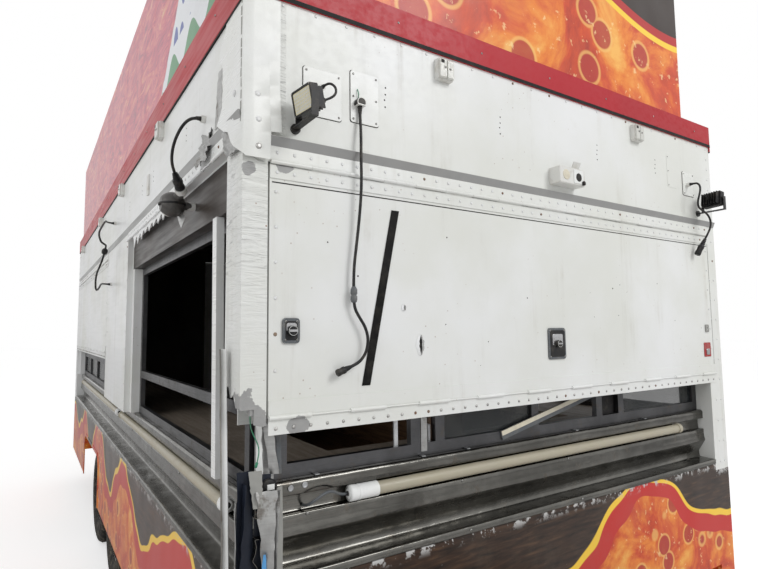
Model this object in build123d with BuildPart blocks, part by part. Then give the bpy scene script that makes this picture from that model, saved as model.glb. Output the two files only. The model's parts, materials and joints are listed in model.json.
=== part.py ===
from build123d import *
import math
import os

# Food trailer: a tandem-axle concession trailer with serving bays on three sides.
# Frame: millimetres, +X towards the hitch, +Y to the trailer's left, +Z up.
# The origin is on the ground, under the middle of the overall length.

# Overall sizes
BODY_L = 5490.0
BODY_W = 2440.0
TONGUE_L = 1300.0
BUMPER_L = 100.0
ROOF_Z = 2565.0
FLOOR_Z = 560.0
SKIRT_Z = 320.0
WALL_T = 95.0
SKIN_T = 4.0
ROOF_T = 25.0
FLOOR_T = 30.0
SEAT_GAP = 0.3
SWING_GAP = 5.0

HALF_W = BODY_W / 2
FRONT_X = (BODY_L + TONGUE_L + BUMPER_L) / 2 - TONGUE_L
REAR_X = FRONT_X - BODY_L
WALL_TOP = ROOF_Z - ROOF_T

# Corner posts: hollow columns, wider along the side than across the front
POST_Y = 120.0
POST_X = 130.0
POST_WALL = 4.0
TORN_POST_END = 1290.0

# Roof trim band and sign boards
TRIM_H = 105.0
TRIM_T = 6.0
SIGN_H = 705.0
SIGN_T = 40.0
SIGN_TUBE = 30.0
SIGN_SKIN = 3.0
SIGN_INSET = 246.0
SIGN_REAR_INSET = 377.0
STAY_D = 25.0
STAY_REACH = 420.0

# Serving bays: depths are measured inwards from the outer face of the wall
SILL_FRONT = 1143.0
SILL_SIDE = 1113.0
HEAD_Z = 1900.0
HINGE_FRONT = 1998.0
HINGE_SIDE = 2058.0
REBATE_D = 30.0
REBATE_LAP = 50.0
BAY_FRONT_HALF = BODY_W / 2 - POST_Y
BAY_NEAR_END = 1886.0
BAY_REAR_START = 2890.0
REAR_POST_W = 180.0
BAY_REAR_END = BODY_L - REAR_POST_W
SASH_W = (BAY_REAR_END - BAY_REAR_START) / 4

# Belt: folded stainless sheet below each bay, with a trough for a tube lamp
BELT_H = 249.0
BELT_RECESS = 76.0
BELT_SHEET = 3.0
TROUGH_TOP = 40.0
TROUGH_H = 50.0
TROUGH_D = 70.0
NOSE_D = 45.0
LEDGE_OUT = 3.0
TUBE_D = 38.0
TUBE_CAP_L = 22.0
TUBE_CAP_D = 44.0
TUBE_DEPTH = TROUGH_D - TUBE_CAP_D / 2 - SEAT_GAP

# Awnings
AWNING_T = 20.0
LEAF_H = 44.0
LEAF_T = 3.0
KNUCKLE_D = 12.0
AWNING_FRONT_H = 672.0
AWNING_SIDE_H = 640.0

# Drip rails over the hinges
RAIL_STANDOFF = 2.0
DRIP_OUT = 12.0
DRIP_H = 26.0

# Wheels and running gear
TYRE_R = 355.0
TYRE_W = 220.0
TYRE_EDGE = 34.0
RIM_R = 196.0
RIM_BEAD = 188.0
RIM_SHEET = 7.0
HUB_R = 42.0
SPINDLE_R = 22.0
SPINDLE_GAP = 0.3
AXLE_R = 38.0
AXLE_FRONT = 2445.0
AXLE_SPACING = 860.0
WHEEL_INSET = 135.0
RAIL_Y = 800.0
RAIL_H = 100.0
RAIL_W = 50.0
RAIL_WEB = 6.0
CROSS_PITCH = 610.0
CROSS_H = 75.0
SPRING_HALF = 330.0
SPRING_W = 44.0
LEAF_THICK = 8.0
EYE_Z = 375.0
EYE_R = 19.0
EYE_PIN_R = 9.0
U_BOLT_R = 6.0
U_BOLT_SPREAD = 26.0
U_BOLT_TAIL = 14.0
SPRING_PLATE_T = 8.0
SPRING_PLATE_MARGIN = 13.0
HUB_FACE = 62.0
HUB_CAP_H = 20.0
HUB_CAP_TAPER = 20.0
LUG_CIRCLE_R = 57.0
LUG_COUNT = 6
LUG_R = 11.0
LUG_H = 16.0
WELL_TOP = 810.0
WELL_T = 3.0
ARCH_FRONT = 3050.0
ARCH_REAR = 4150.0
ARCH_TOP = 660.0
ARCH_R = 110.0
ARCH_FLANGE = 24.0
ARCH_FLANGE_T = 4.0

FRAME_TOP = FLOOR_Z - FLOOR_T
FRAME_BOTTOM = FRAME_TOP - RAIL_H
WHEEL_Y = HALF_W - WHEEL_INSET
AXLE_X = [FRONT_X - AXLE_FRONT, FRONT_X - AXLE_FRONT - AXLE_SPACING]
WELL_FRONT = FRONT_X - AXLE_FRONT + TYRE_R + 110.0
WELL_REAR = FRONT_X - AXLE_FRONT - AXLE_SPACING - TYRE_R - 110.0
WELL_Y = WHEEL_Y - TYRE_W / 2 - 40.0

# Tongue, coupler and jack
TONGUE_ROOT = 900.0
TONGUE_H = 90.0
TONGUE_FLANGE = 7.0
COUPLER_L = 260.0
BALL_R = 29.5
BALL_DEPTH = 42.0
JACK_X = FRONT_X + TONGUE_L - 430.0
JACK_R = 31.0
JACK_TOP = 930.0
FOOT_SIZE = 170.0
FOOT_T = 8.0

# Entry door in the rear wall
DOOR_W = 760.0
DOOR_H = 1830.0
DOOR_T = 40.0
DOOR_Y = 520.0
DOOR_SILL = FLOOR_Z + 20.0
DOOR_BARREL_R = 8.0
DOOR_BARREL_H = 35.0
DOOR_PIN_R = 4.0
DOOR_LEAF_T = 4.0
DOOR_LEAF_W = 42.0

os.makedirs("parts", exist_ok=True)


def yz_plane(x):
    """Plane across the trailer at x, facing forwards: local x is +Y, local y is +Z."""
    return Plane.YZ.offset(x)


def side_plane(depth=0.0):
    """Plane along the right wall, facing out: local x is +X, local y is +Z."""
    return Plane.XZ.offset(HALF_W - depth)


def front_section(y):
    """Plane for a section that runs along the front wall: local x points out of the wall."""
    return Plane(origin=(FRONT_X, y, 0), x_dir=(1, 0, 0), z_dir=(0, -1, 0))


def side_section(y_sign, x):
    """Plane for a section that runs along a side wall: local x points out of the wall."""
    return Plane(origin=(x, y_sign * HALF_W, 0), x_dir=(0, y_sign, 0), z_dir=(y_sign, 0, 0))


def rect(x0, x1, z0, z1, mode=Mode.ADD):
    """A rectangle given by its two limits each way, in the sketch's own plane."""
    with Locations(((x0 + x1) / 2, (z0 + z1) / 2)):
        Rectangle(abs(x1 - x0), abs(z1 - z0), mode=mode)


def back(distance):
    """Row x of a place that lies a given distance behind the front wall's outer face."""
    return FRONT_X - distance


# Front wall: an upper panel over the bay and an apron under it, both between the corner posts
with BuildPart() as front_upper_wall:
    with BuildSketch(yz_plane(FRONT_X)):
        rect(-BAY_FRONT_HALF, BAY_FRONT_HALF, HEAD_Z, WALL_TOP)
    extrude(amount=-WALL_T)
    with BuildSketch(yz_plane(FRONT_X)):
        rect(-BAY_FRONT_HALF, BAY_FRONT_HALF, HEAD_Z, HINGE_FRONT)
    extrude(amount=-REBATE_D, mode=Mode.SUBTRACT)
front_upper_wall.part.label = "front_upper_wall"
export_step(front_upper_wall.part, "parts/front_upper_wall.step")

APRON_BOTTOM = FRAME_BOTTOM + 5.0
with BuildPart() as front_apron:
    with BuildSketch(yz_plane(FRONT_X)):
        rect(-BAY_FRONT_HALF, BAY_FRONT_HALF, APRON_BOTTOM, SILL_FRONT)
    extrude(amount=-WALL_T)
    with BuildSketch(yz_plane(FRONT_X)):
        rect(-BAY_FRONT_HALF, BAY_FRONT_HALF, SILL_FRONT - BELT_H, SILL_FRONT)
    extrude(amount=-BELT_RECESS, mode=Mode.SUBTRACT)
front_apron.part.label = "front_apron"
export_step(front_apron.part, "parts/front_apron.step")


# The right wall between its corner posts: bays, rebates, belt recess, wheel arch and pocket
# columns: bay's front edge, bay's rear edge, both as a distance behind the front wall
SIDE_BAYS = [(POST_X, BAY_NEAR_END), (BAY_REAR_START, BAY_REAR_END)]
with BuildPart() as right_wall:
    front_edge = back(POST_X)
    rear_edge = REAR_X + POST_X
    with BuildSketch(side_plane()):
        rect(rear_edge, front_edge, FLOOR_Z - FLOOR_T, WALL_TOP)
    extrude(amount=-WALL_T)
    with BuildSketch(side_plane()):
        rect(rear_edge, front_edge, SKIRT_Z, FLOOR_Z)
    extrude(amount=-SKIN_T)
    with BuildSketch(side_plane(SKIN_T)):
        rect(WELL_REAR, WELL_FRONT, FLOOR_Z - FLOOR_T, WELL_TOP)
    extrude(amount=-WALL_T, mode=Mode.SUBTRACT)
    with BuildSketch(side_plane()) as flange:
        rect(back(ARCH_REAR + ARCH_FLANGE), back(ARCH_FRONT - ARCH_FLANGE), SKIRT_Z, ARCH_TOP + ARCH_FLANGE)
        fillet(flange.vertices().group_by(Axis.Y)[-1], ARCH_R + ARCH_FLANGE)
    extrude(amount=ARCH_FLANGE_T)
    with BuildSketch(side_plane(-ARCH_FLANGE_T)) as arch:
        rect(back(ARCH_REAR), back(ARCH_FRONT), SKIRT_Z - ARCH_R, ARCH_TOP)
        fillet(arch.vertices().group_by(Axis.Y)[-1], ARCH_R)
    extrude(amount=-WALL_T - ARCH_FLANGE_T, mode=Mode.SUBTRACT)
    for bay_front, bay_rear in SIDE_BAYS:
        with BuildSketch(side_plane()):
            rect(back(bay_rear), back(bay_front), SILL_SIDE, HEAD_Z)
        extrude(amount=-WALL_T, mode=Mode.SUBTRACT)
        with BuildSketch(side_plane()):
            rect(back(bay_rear + REBATE_LAP), back(max(bay_front - REBATE_LAP, POST_X)), SILL_SIDE, HINGE_SIDE)
        extrude(amount=-REBATE_D, mode=Mode.SUBTRACT)
    with BuildSketch(side_plane()):
        rect(back(BAY_REAR_END), front_edge, SILL_SIDE - BELT_H, SILL_SIDE)
    extrude(amount=-BELT_RECESS, mode=Mode.SUBTRACT)
right_wall.part.label = "right_wall"
export_step(right_wall.part, "parts/right_wall.step")

with BuildPart() as left_wall:
    add(mirror(right_wall.part, about=Plane.XZ, mode=Mode.PRIVATE))
left_wall.part.label = "left_wall"
export_step(left_wall.part, "parts/left_wall.step")

# Rear wall with the doorway, and the fixed leaves, barrels and pins of the door's three hinges
DOOR_EDGE = DOOR_Y + DOOR_W / 2
DOOR_PIN_X = REAR_X - DOOR_BARREL_R - 2.0
DOOR_HINGES = [DOOR_SILL + 150.0, DOOR_SILL + DOOR_H / 2, DOOR_SILL + DOOR_H - 250.0]
with BuildPart() as rear_wall:
    with BuildSketch(yz_plane(REAR_X)):
        rect(-BAY_FRONT_HALF, BAY_FRONT_HALF, SKIRT_Z, WALL_TOP)
        rect(DOOR_Y - DOOR_W / 2 - SWING_GAP, DOOR_EDGE + SWING_GAP,
             DOOR_SILL - SWING_GAP, DOOR_SILL + DOOR_H + SWING_GAP, mode=Mode.SUBTRACT)
    extrude(amount=WALL_T)
    for hinge_z in DOOR_HINGES:
        for low in (hinge_z, hinge_z + 2 * DOOR_BARREL_H):
            with BuildSketch(Plane.XY.offset(low)):
                rect(REAR_X - DOOR_LEAF_T, REAR_X, DOOR_EDGE, DOOR_EDGE + DOOR_LEAF_W)
                with Locations((DOOR_PIN_X, DOOR_EDGE)):
                    Circle(DOOR_BARREL_R)
            extrude(amount=DOOR_BARREL_H)
            with BuildSketch(Plane.XY.offset(low)):
                rect(REAR_X - SEAT_GAP, REAR_X + WALL_T, DOOR_EDGE - DOOR_BARREL_R, DOOR_EDGE + SWING_GAP)
            extrude(amount=DOOR_BARREL_H, mode=Mode.SUBTRACT)
        with BuildSketch(Plane.XY.offset(hinge_z)):
            with Locations((DOOR_PIN_X, DOOR_EDGE)):
                Circle(DOOR_PIN_R)
        extrude(amount=3 * DOOR_BARREL_H)
rear_wall.part.label = "rear_wall"
export_step(rear_wall.part, "parts/rear_wall.step")


def post_section(x_sign, y_sign, rebated):
    """Hollow column section at one corner, with the awning's rebate cut into its front face."""
    x_outer = FRONT_X if x_sign > 0 else REAR_X
    y_outer = y_sign * HALF_W
    x_mid = x_outer - x_sign * POST_X / 2
    y_mid = y_outer - y_sign * POST_Y / 2
    with Locations((x_mid, y_mid)):
        Rectangle(POST_X, POST_Y)
        Rectangle(POST_X - 2 * POST_WALL, POST_Y - 2 * POST_WALL, mode=Mode.SUBTRACT)
    if rebated:
        rect(x_outer - REBATE_D, x_outer, y_outer - y_sign * POST_Y, y_outer - y_sign * (POST_Y - REBATE_LAP),
             mode=Mode.SUBTRACT)
        rect(x_outer - REBATE_D - POST_WALL, x_outer - REBATE_D,
             y_outer - y_sign * POST_Y, y_outer - y_sign * (POST_Y - REBATE_LAP - POST_WALL))
        rect(x_outer - REBATE_D, x_outer,
             y_outer - y_sign * (POST_Y - REBATE_LAP), y_outer - y_sign * (POST_Y - REBATE_LAP - POST_WALL))


REBATE_BOTTOM = HINGE_FRONT - AWNING_FRONT_H - LEAF_H - SWING_GAP
# columns: lower end, upper end, whether the awning's rebate is cut there
FRONT_POST_RUNS = [
    (SKIRT_Z, REBATE_BOTTOM, False),
    (REBATE_BOTTOM, HINGE_FRONT, True),
    (HINGE_FRONT, WALL_TOP, False),
]
with BuildPart() as corner_posts:
    for low, high, rebated in FRONT_POST_RUNS:
        with BuildSketch(Plane.XY.offset(low)):
            post_section(1, 1, rebated)
        extrude(amount=high - low)
    for y_sign in (-1, 1):
        with BuildSketch(Plane.XY.offset(SKIRT_Z)):
            post_section(-1, y_sign, False)
        extrude(amount=WALL_TOP - SKIRT_Z)
corner_posts.part.label = "corner_posts"
export_step(corner_posts.part, "parts/corner_posts.step")

# The near front corner: its column ends torn, above the belt
# columns: place along the wall, height of the torn edge there
TEAR_FRONT = [(-HALF_W - 1, 1352.0), (-HALF_W + 12, 1330.0), (-HALF_W + 22, 1336.0), (-HALF_W + 34, 1308.0),
              (-HALF_W + 58, 1301.0), (-HALF_W + 78, 1304.0), (-HALF_W + 92, 1298.0), (-HALF_W + POST_Y + 1, 1312.0)]
TEAR_SIDE = [(back(POST_X + 1), 1420.0), (back(POST_X - 16), 1396.0), (back(POST_X - 34), 1402.0),
             (back(POST_X - 52), 1371.0), (back(POST_X - 78), 1380.0), (back(POST_X - 96), 1349.0),
             (back(-1), 1346.0)]
WIRE_CLIP_Z = 1330.0
WIRE_CLIP_INSET = 34.0
WIRE_CLIP_W = 12.0
WIRE_CLIP_H = 16.0
WIRE_CLIP_REACH = 22.0
with BuildPart() as torn_corner_post:
    for low, high, rebated in [(TORN_POST_END, HINGE_FRONT, True), (HINGE_FRONT, WALL_TOP, False)]:
        with BuildSketch(Plane.XY.offset(low)):
            post_section(1, -1, rebated)
        extrude(amount=high - low)
    for tear_plane, tear_edge in ((yz_plane(FRONT_X + 1), TEAR_FRONT), (side_plane(-1), TEAR_SIDE)):
        with BuildSketch(tear_plane):
            with BuildLine():
                Polyline(*tear_edge, (tear_edge[-1][0], TORN_POST_END - 1), (tear_edge[0][0], TORN_POST_END - 1),
                         tear_edge[0])
            make_face()
        extrude(amount=-(REBATE_D + POST_WALL + 4), mode=Mode.SUBTRACT)
    with BuildSketch(Plane.XY.offset(WIRE_CLIP_Z)):
        clip_y = WIRE_CLIP_INSET - HALF_W
        clip_x = FRONT_X - POST_WALL
        rect(clip_x, clip_x - WIRE_CLIP_REACH, clip_y - WIRE_CLIP_W / 2, clip_y + WIRE_CLIP_W / 2)
    extrude(amount=WIRE_CLIP_H)
torn_corner_post.part.label = "torn_corner_post"
export_step(torn_corner_post.part, "parts/torn_corner_post.step")

# Roof deck on its bows, and the band of trim round its edge
BOW_W = 30.0
BOW_H = 42.0
BOW_COUNT = round(BODY_L / 600)
with BuildPart() as roof_deck:
    with BuildSketch(Plane.XY.offset(WALL_TOP)):
        rect(REAR_X, FRONT_X, -HALF_W, HALF_W)
    extrude(amount=ROOF_T)
    with BuildSketch(Plane.XZ.offset(-HALF_W + WALL_T + SEAT_GAP)):
        for index in range(1, BOW_COUNT):
            bow_x = REAR_X + WALL_T + index * (BODY_L - 2 * WALL_T) / BOW_COUNT
            rect(bow_x - BOW_W / 2, bow_x + BOW_W / 2, WALL_TOP - BOW_H, WALL_TOP)
    extrude(amount=2 * (HALF_W - WALL_T - SEAT_GAP))
roof_deck.part.label = "roof_deck"
export_step(roof_deck.part, "parts/roof_deck.step")

with BuildPart() as roof_trim:
    with BuildSketch(Plane.XY.offset(ROOF_Z - TRIM_H)):
        rect(REAR_X - TRIM_T, FRONT_X + TRIM_T, -HALF_W - TRIM_T, HALF_W + TRIM_T)
        rect(REAR_X - SEAT_GAP, FRONT_X + SEAT_GAP, -HALF_W - SEAT_GAP, HALF_W + SEAT_GAP, mode=Mode.SUBTRACT)
    extrude(amount=TRIM_H)
roof_trim.part.label = "roof_trim"
export_step(roof_trim.part, "parts/roof_trim.step")


SIGN_PITCH = 900.0
SIGN_SIDE_L = BODY_L - SIGN_INSET - SIGN_REAR_INSET
SIGN_SIDE_X = (back(SIGN_INSET) + REAR_X + SIGN_REAR_INSET) / 2
SIGN_FRONT_W = 2 * (HALF_W - SIGN_INSET)
STAY_FRONT_REACH = SIGN_INSET - 2 * STAY_D
# columns: name, middle of the lower edge, direction along the board, outward direction, width, reach of its stays
SIGN_TABLE = [
    ("sign_front", (FRONT_X, 0, ROOF_Z), (0, 1, 0), (1, 0, 0), SIGN_FRONT_W, STAY_FRONT_REACH),
    ("sign_right", (SIGN_SIDE_X, -HALF_W, ROOF_Z), (1, 0, 0), (0, -1, 0), SIGN_SIDE_L, STAY_REACH),
    ("sign_left", (SIGN_SIDE_X, HALF_W, ROOF_Z), (-1, 0, 0), (0, 1, 0), SIGN_SIDE_L, STAY_REACH),
]
for sign_name, sign_foot, sign_along, sign_out, sign_width, stay_reach in SIGN_TABLE:
    sign_plane = Plane(origin=sign_foot, x_dir=sign_along, z_dir=sign_out)
    cell_count = max(2, math.ceil(sign_width / SIGN_PITCH))
    cell_pitch = (sign_width - SIGN_TUBE) / cell_count
    with BuildPart() as board:
        with BuildSketch(sign_plane):
            with Locations((0, SIGN_H / 2)):
                Rectangle(sign_width, SIGN_H)
        extrude(amount=-SIGN_SKIN)
        with BuildSketch(sign_plane):
            with Locations((0, SIGN_H / 2)):
                Rectangle(sign_width, SIGN_H)
                with GridLocations(cell_pitch, 0, cell_count, 1):
                    Rectangle(cell_pitch - SIGN_TUBE, SIGN_H - 2 * SIGN_TUBE, mode=Mode.SUBTRACT)
        extrude(amount=-SIGN_T)
        for index in range(cell_count + 1):
            along = -sign_width / 2 + SIGN_TUBE / 2 + index * cell_pitch
            stay_plane = Plane(origin=sign_plane.from_local_coords((along - STAY_D / 2, 0, 0)),
                               x_dir=sign_plane.y_dir, z_dir=sign_plane.x_dir)
            with BuildSketch(stay_plane):
                with BuildLine():
                    stay_top = SIGN_H - 2 * SIGN_TUBE
                    Polyline((0, -stay_reach), (0, STAY_D * 1.2 - stay_reach), (stay_top - STAY_D, -SIGN_T),
                             (stay_top, -SIGN_T), (0, -stay_reach))
                make_face()
            extrude(amount=STAY_D)
    board.part.label = sign_name
    export_step(board.part, f"parts/{sign_name}.step")

# Floor deck with a box over each pair of wheels
with BuildPart() as floor_deck:
    with BuildSketch(Plane.XY.offset(FLOOR_Z - FLOOR_T)):
        rect(REAR_X + WALL_T, back(WALL_T), -HALF_W + WALL_T, HALF_W - WALL_T)
        for y_sign in (-1, 1):
            rect(WELL_REAR, WELL_FRONT, y_sign * WELL_Y, y_sign * HALF_W, mode=Mode.SUBTRACT)
            rect(back(POST_X), FRONT_X, y_sign * (HALF_W - POST_Y), y_sign * HALF_W, mode=Mode.SUBTRACT)
            rect(REAR_X, REAR_X + POST_X, y_sign * (HALF_W - POST_Y), y_sign * HALF_W, mode=Mode.SUBTRACT)
    extrude(amount=FLOOR_T)
    for y_sign in (-1, 1):
        with BuildSketch(Plane.XY.offset(FLOOR_Z - FLOOR_T)):
            rect(WELL_REAR - WELL_T, WELL_FRONT + WELL_T, y_sign * (WELL_Y - WELL_T), y_sign * (HALF_W - WALL_T))
            rect(WELL_REAR, WELL_FRONT, y_sign * WELL_Y, y_sign * (HALF_W - WALL_T), mode=Mode.SUBTRACT)
        extrude(amount=WELL_TOP - FLOOR_Z + FLOOR_T)
        with BuildSketch(Plane.XY.offset(WELL_TOP)):
            rect(WELL_REAR - WELL_T, WELL_FRONT + WELL_T, y_sign * (WELL_Y - WELL_T), y_sign * (HALF_W - WALL_T))
        extrude(amount=WELL_T)
floor_deck.part.label = "floor_deck"
export_step(floor_deck.part, "parts/floor_deck.step")


# Chassis: two rails, cross members between them and outriggers to the walls
FRAME_L = BODY_L - 2 * WALL_T
CROSS_COUNT = round(FRAME_L / CROSS_PITCH)
CROSS_STEP = (FRAME_L - RAIL_W) / CROSS_COUNT
CROSS_X = [REAR_X + WALL_T + RAIL_W / 2 + i * CROSS_STEP for i in range(CROSS_COUNT + 1)]
with BuildPart() as chassis_frame:
    for y_sign in (-1, 1):
        with BuildSketch(yz_plane(REAR_X + WALL_T)):
            rect(y_sign * RAIL_Y, y_sign * (RAIL_Y - RAIL_W), FRAME_BOTTOM, FRAME_TOP)
            rect(y_sign * (RAIL_Y - RAIL_WEB), y_sign * (RAIL_Y - RAIL_W),
                 FRAME_BOTTOM + RAIL_WEB, FRAME_TOP - RAIL_WEB, mode=Mode.SUBTRACT)
        extrude(amount=FRAME_L)
    for cross_x in CROSS_X:
        clear_of_wells = cross_x > WELL_FRONT + RAIL_W or cross_x < WELL_REAR - RAIL_W
        reach = HALF_W - POST_Y if clear_of_wells else RAIL_Y
        with BuildSketch(Plane.XZ.offset(-reach)):
            rect(cross_x - RAIL_W / 2, cross_x + RAIL_W / 2, FRAME_TOP - CROSS_H, FRAME_TOP)
            rect(cross_x - RAIL_W / 2 + RAIL_WEB, cross_x + RAIL_W / 2,
                 FRAME_TOP - CROSS_H + RAIL_WEB, FRAME_TOP - RAIL_WEB, mode=Mode.SUBTRACT)
        extrude(amount=2 * reach)
chassis_frame.part.label = "chassis_frame"
export_step(chassis_frame.part, "parts/chassis_frame.step")

# Tongue: two members that meet at the coupler
APEX_X = FRONT_X + TONGUE_L - COUPLER_L + 60.0
APEX_HALF = 55.0
APEX_CROTCH = 90.0
CHANNEL_END = 130.0
CHANNEL_OUTER = 70.0
CHANNEL_INNER = 12.0
TONGUE_TOP = FRAME_BOTTOM
with BuildPart() as tongue_frame:
    with BuildSketch(Plane.XY.offset(TONGUE_TOP - TONGUE_H)) as tongue_plan:
        with BuildLine():
            Polyline((APEX_X, APEX_HALF), (back(TONGUE_ROOT), RAIL_Y), (back(TONGUE_ROOT), RAIL_Y - RAIL_W),
                     (APEX_X - APEX_CROTCH, 0), (back(TONGUE_ROOT), RAIL_W - RAIL_Y), (back(TONGUE_ROOT), -RAIL_Y),
                     (APEX_X, -APEX_HALF), (APEX_X, APEX_HALF))
        make_face()
    extrude(amount=TONGUE_H)
    with BuildSketch(Plane.XY.offset(TONGUE_TOP - TONGUE_H + TONGUE_FLANGE)):
        for y_sign in (-1, 1):
            channel_x = APEX_X - CHANNEL_END
            with BuildLine():
                Polyline((channel_x, y_sign * CHANNEL_OUTER),
                         (back(TONGUE_ROOT + 1), y_sign * (RAIL_Y - TONGUE_FLANGE)),
                         (back(TONGUE_ROOT + 1), y_sign * (RAIL_Y - RAIL_W - 1)),
                         (channel_x, y_sign * CHANNEL_INNER), (channel_x, y_sign * CHANNEL_OUTER))
            make_face()
    extrude(amount=TONGUE_H - 2 * TONGUE_FLANGE, mode=Mode.SUBTRACT)
tongue_frame.part.label = "tongue_frame"
export_step(tongue_frame.part, "parts/tongue_frame.step")

# Coupler: a cast nose over the ball, with its latch lever
COUPLER_W = 96.0
COUPLER_H = 70.0
COUPLER_Z = TONGUE_TOP - 20.0
COUPLER_TIP = FRONT_X + TONGUE_L
COUPLER_EASE = 12.0
LEVER_W = 16.0
# columns: distance behind the coupler's tip, height over its top
LEVER_OUTLINE = [(110.0, 0.0), (60.0, 0.0), (75.0, 40.0), (190.0, 70.0), (190.0, 56.0), (105.0, 30.0)]
with BuildPart() as coupler:
    with BuildSketch(Plane.XY.offset(COUPLER_Z)):
        with BuildLine():
            nose = COUPLER_W / 2
            Line((APEX_X, -nose), (COUPLER_TIP - nose, -nose))
            ThreePointArc((COUPLER_TIP - nose, -nose), (COUPLER_TIP, 0), (COUPLER_TIP - nose, nose))
            Line((COUPLER_TIP - nose, nose), (APEX_X, nose))
            Line((APEX_X, nose), (APEX_X, -nose))
        make_face()
    extrude(amount=COUPLER_H)
    fillet(coupler.faces().sort_by(Axis.Z)[-1].edges(), COUPLER_EASE)
    with BuildSketch(Plane.XY.offset(COUPLER_Z)):
        with Locations((COUPLER_TIP - COUPLER_W / 2, 0)):
            Circle(BALL_R)
    extrude(amount=BALL_DEPTH, mode=Mode.SUBTRACT)
    with BuildSketch(Plane.XZ.offset(-LEVER_W / 2)):
        with BuildLine():
            lever_points = LEVER_OUTLINE + LEVER_OUTLINE[:1]
            Polyline(*[(COUPLER_TIP - behind, COUPLER_Z + COUPLER_H + up) for behind, up in lever_points])
        make_face()
    extrude(amount=LEVER_W)
coupler.part.label = "coupler"
export_step(coupler.part, "parts/coupler.step")

# Tongue jack: outer tube, drop leg, foot plate and crank
JACK_WALL = 5.0
JACK_SLEEVE_DROP = 120.0
FOOT_EASE = 20.0
COLLAR_L = 190.0
COLLAR_W = 170.0
COLLAR_EASE = 30.0
COLLAR_T = 10.0
CRANK_Z = JACK_TOP - 40.0
CRANK_R = 9.0
CRANK_REACH = 130.0
CRANK_ARM_L = 150.0
CRANK_ARM_T = 15.0
GRIP_R = 14.0
GRIP_L = 90.0
GRIP_Z = CRANK_Z + CRANK_R - CRANK_ARM_L + 3.0
with BuildPart() as tongue_jack:
    with BuildSketch(Plane.XY.offset(TONGUE_TOP - JACK_SLEEVE_DROP)):
        with Locations((JACK_X, 0)):
            Circle(JACK_R)
    extrude(amount=JACK_TOP - TONGUE_TOP + JACK_SLEEVE_DROP)
    with BuildSketch(Plane.XY.offset(FOOT_T)):
        with Locations((JACK_X, 0)):
            Circle(JACK_R - JACK_WALL)
    extrude(amount=TONGUE_TOP - JACK_SLEEVE_DROP - FOOT_T)
    with BuildSketch(Plane.XY):
        with Locations((JACK_X, 0)):
            RectangleRounded(FOOT_SIZE, FOOT_SIZE, FOOT_EASE)
    extrude(amount=FOOT_T)
    with BuildSketch(Plane.XY.offset(TONGUE_TOP)):
        with Locations((JACK_X, 0)):
            RectangleRounded(COLLAR_L, COLLAR_W, COLLAR_EASE)
            Circle(JACK_R, mode=Mode.SUBTRACT)
    extrude(amount=COLLAR_T)
    with BuildSketch(Plane.XZ.offset(-JACK_R)):
        with Locations((JACK_X, CRANK_Z)):
            Circle(CRANK_R)
    extrude(amount=JACK_R + CRANK_REACH)
    with BuildSketch(Plane.XZ.offset(CRANK_REACH - CRANK_ARM_T)):
        rect(JACK_X - CRANK_R, JACK_X + CRANK_R, CRANK_Z - CRANK_ARM_L, CRANK_Z + CRANK_R)
    extrude(amount=CRANK_ARM_T)
    with BuildSketch(Plane.XZ.offset(CRANK_REACH)):
        with Locations((JACK_X, GRIP_Z)):
            Circle(GRIP_R)
    extrude(amount=GRIP_L)
tongue_jack.part.label = "tongue_jack"
export_step(tongue_jack.part, "parts/tongue_jack.step")

# Rear bumper
BUMPER_OVERHANG = 150.0
with BuildPart() as rear_bumper:
    with BuildSketch(Plane.XZ.offset(-RAIL_Y - BUMPER_OVERHANG)):
        rect(REAR_X - BUMPER_L, REAR_X - SEAT_GAP, FRAME_BOTTOM, FRAME_TOP)
        rect(REAR_X - BUMPER_L + RAIL_WEB, REAR_X - SEAT_GAP - RAIL_WEB,
             FRAME_BOTTOM + RAIL_WEB, FRAME_TOP - RAIL_WEB, mode=Mode.SUBTRACT)
    extrude(amount=2 * (RAIL_Y + BUMPER_OVERHANG))
rear_bumper.part.label = "rear_bumper"
export_step(rear_bumper.part, "parts/rear_bumper.step")

# Axles: a tube between the springs with a spindle at each end
SPINDLE_L = 30.0
with BuildPart() as axles:
    for axle_x in AXLE_X:
        with BuildSketch(Plane.XZ.offset(-WHEEL_Y + TYRE_W / 2 - SPINDLE_L)):
            with Locations((axle_x, TYRE_R)):
                Circle(AXLE_R)
        extrude(amount=2 * (WHEEL_Y - TYRE_W / 2 + SPINDLE_L))
        with BuildSketch(Plane.XZ.offset(-WHEEL_Y - SPINDLE_L)):
            with Locations((axle_x, TYRE_R)):
                Circle(SPINDLE_R)
        extrude(amount=2 * (WHEEL_Y + SPINDLE_L))
axles.part.label = "axles"
export_step(axles.part, "parts/axles.step")

# Leaf springs: an arched main leaf with shorter leaves under it, and a rolled eye at each end
SPRING_TOP = TYRE_R - AXLE_R - SEAT_GAP
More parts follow.
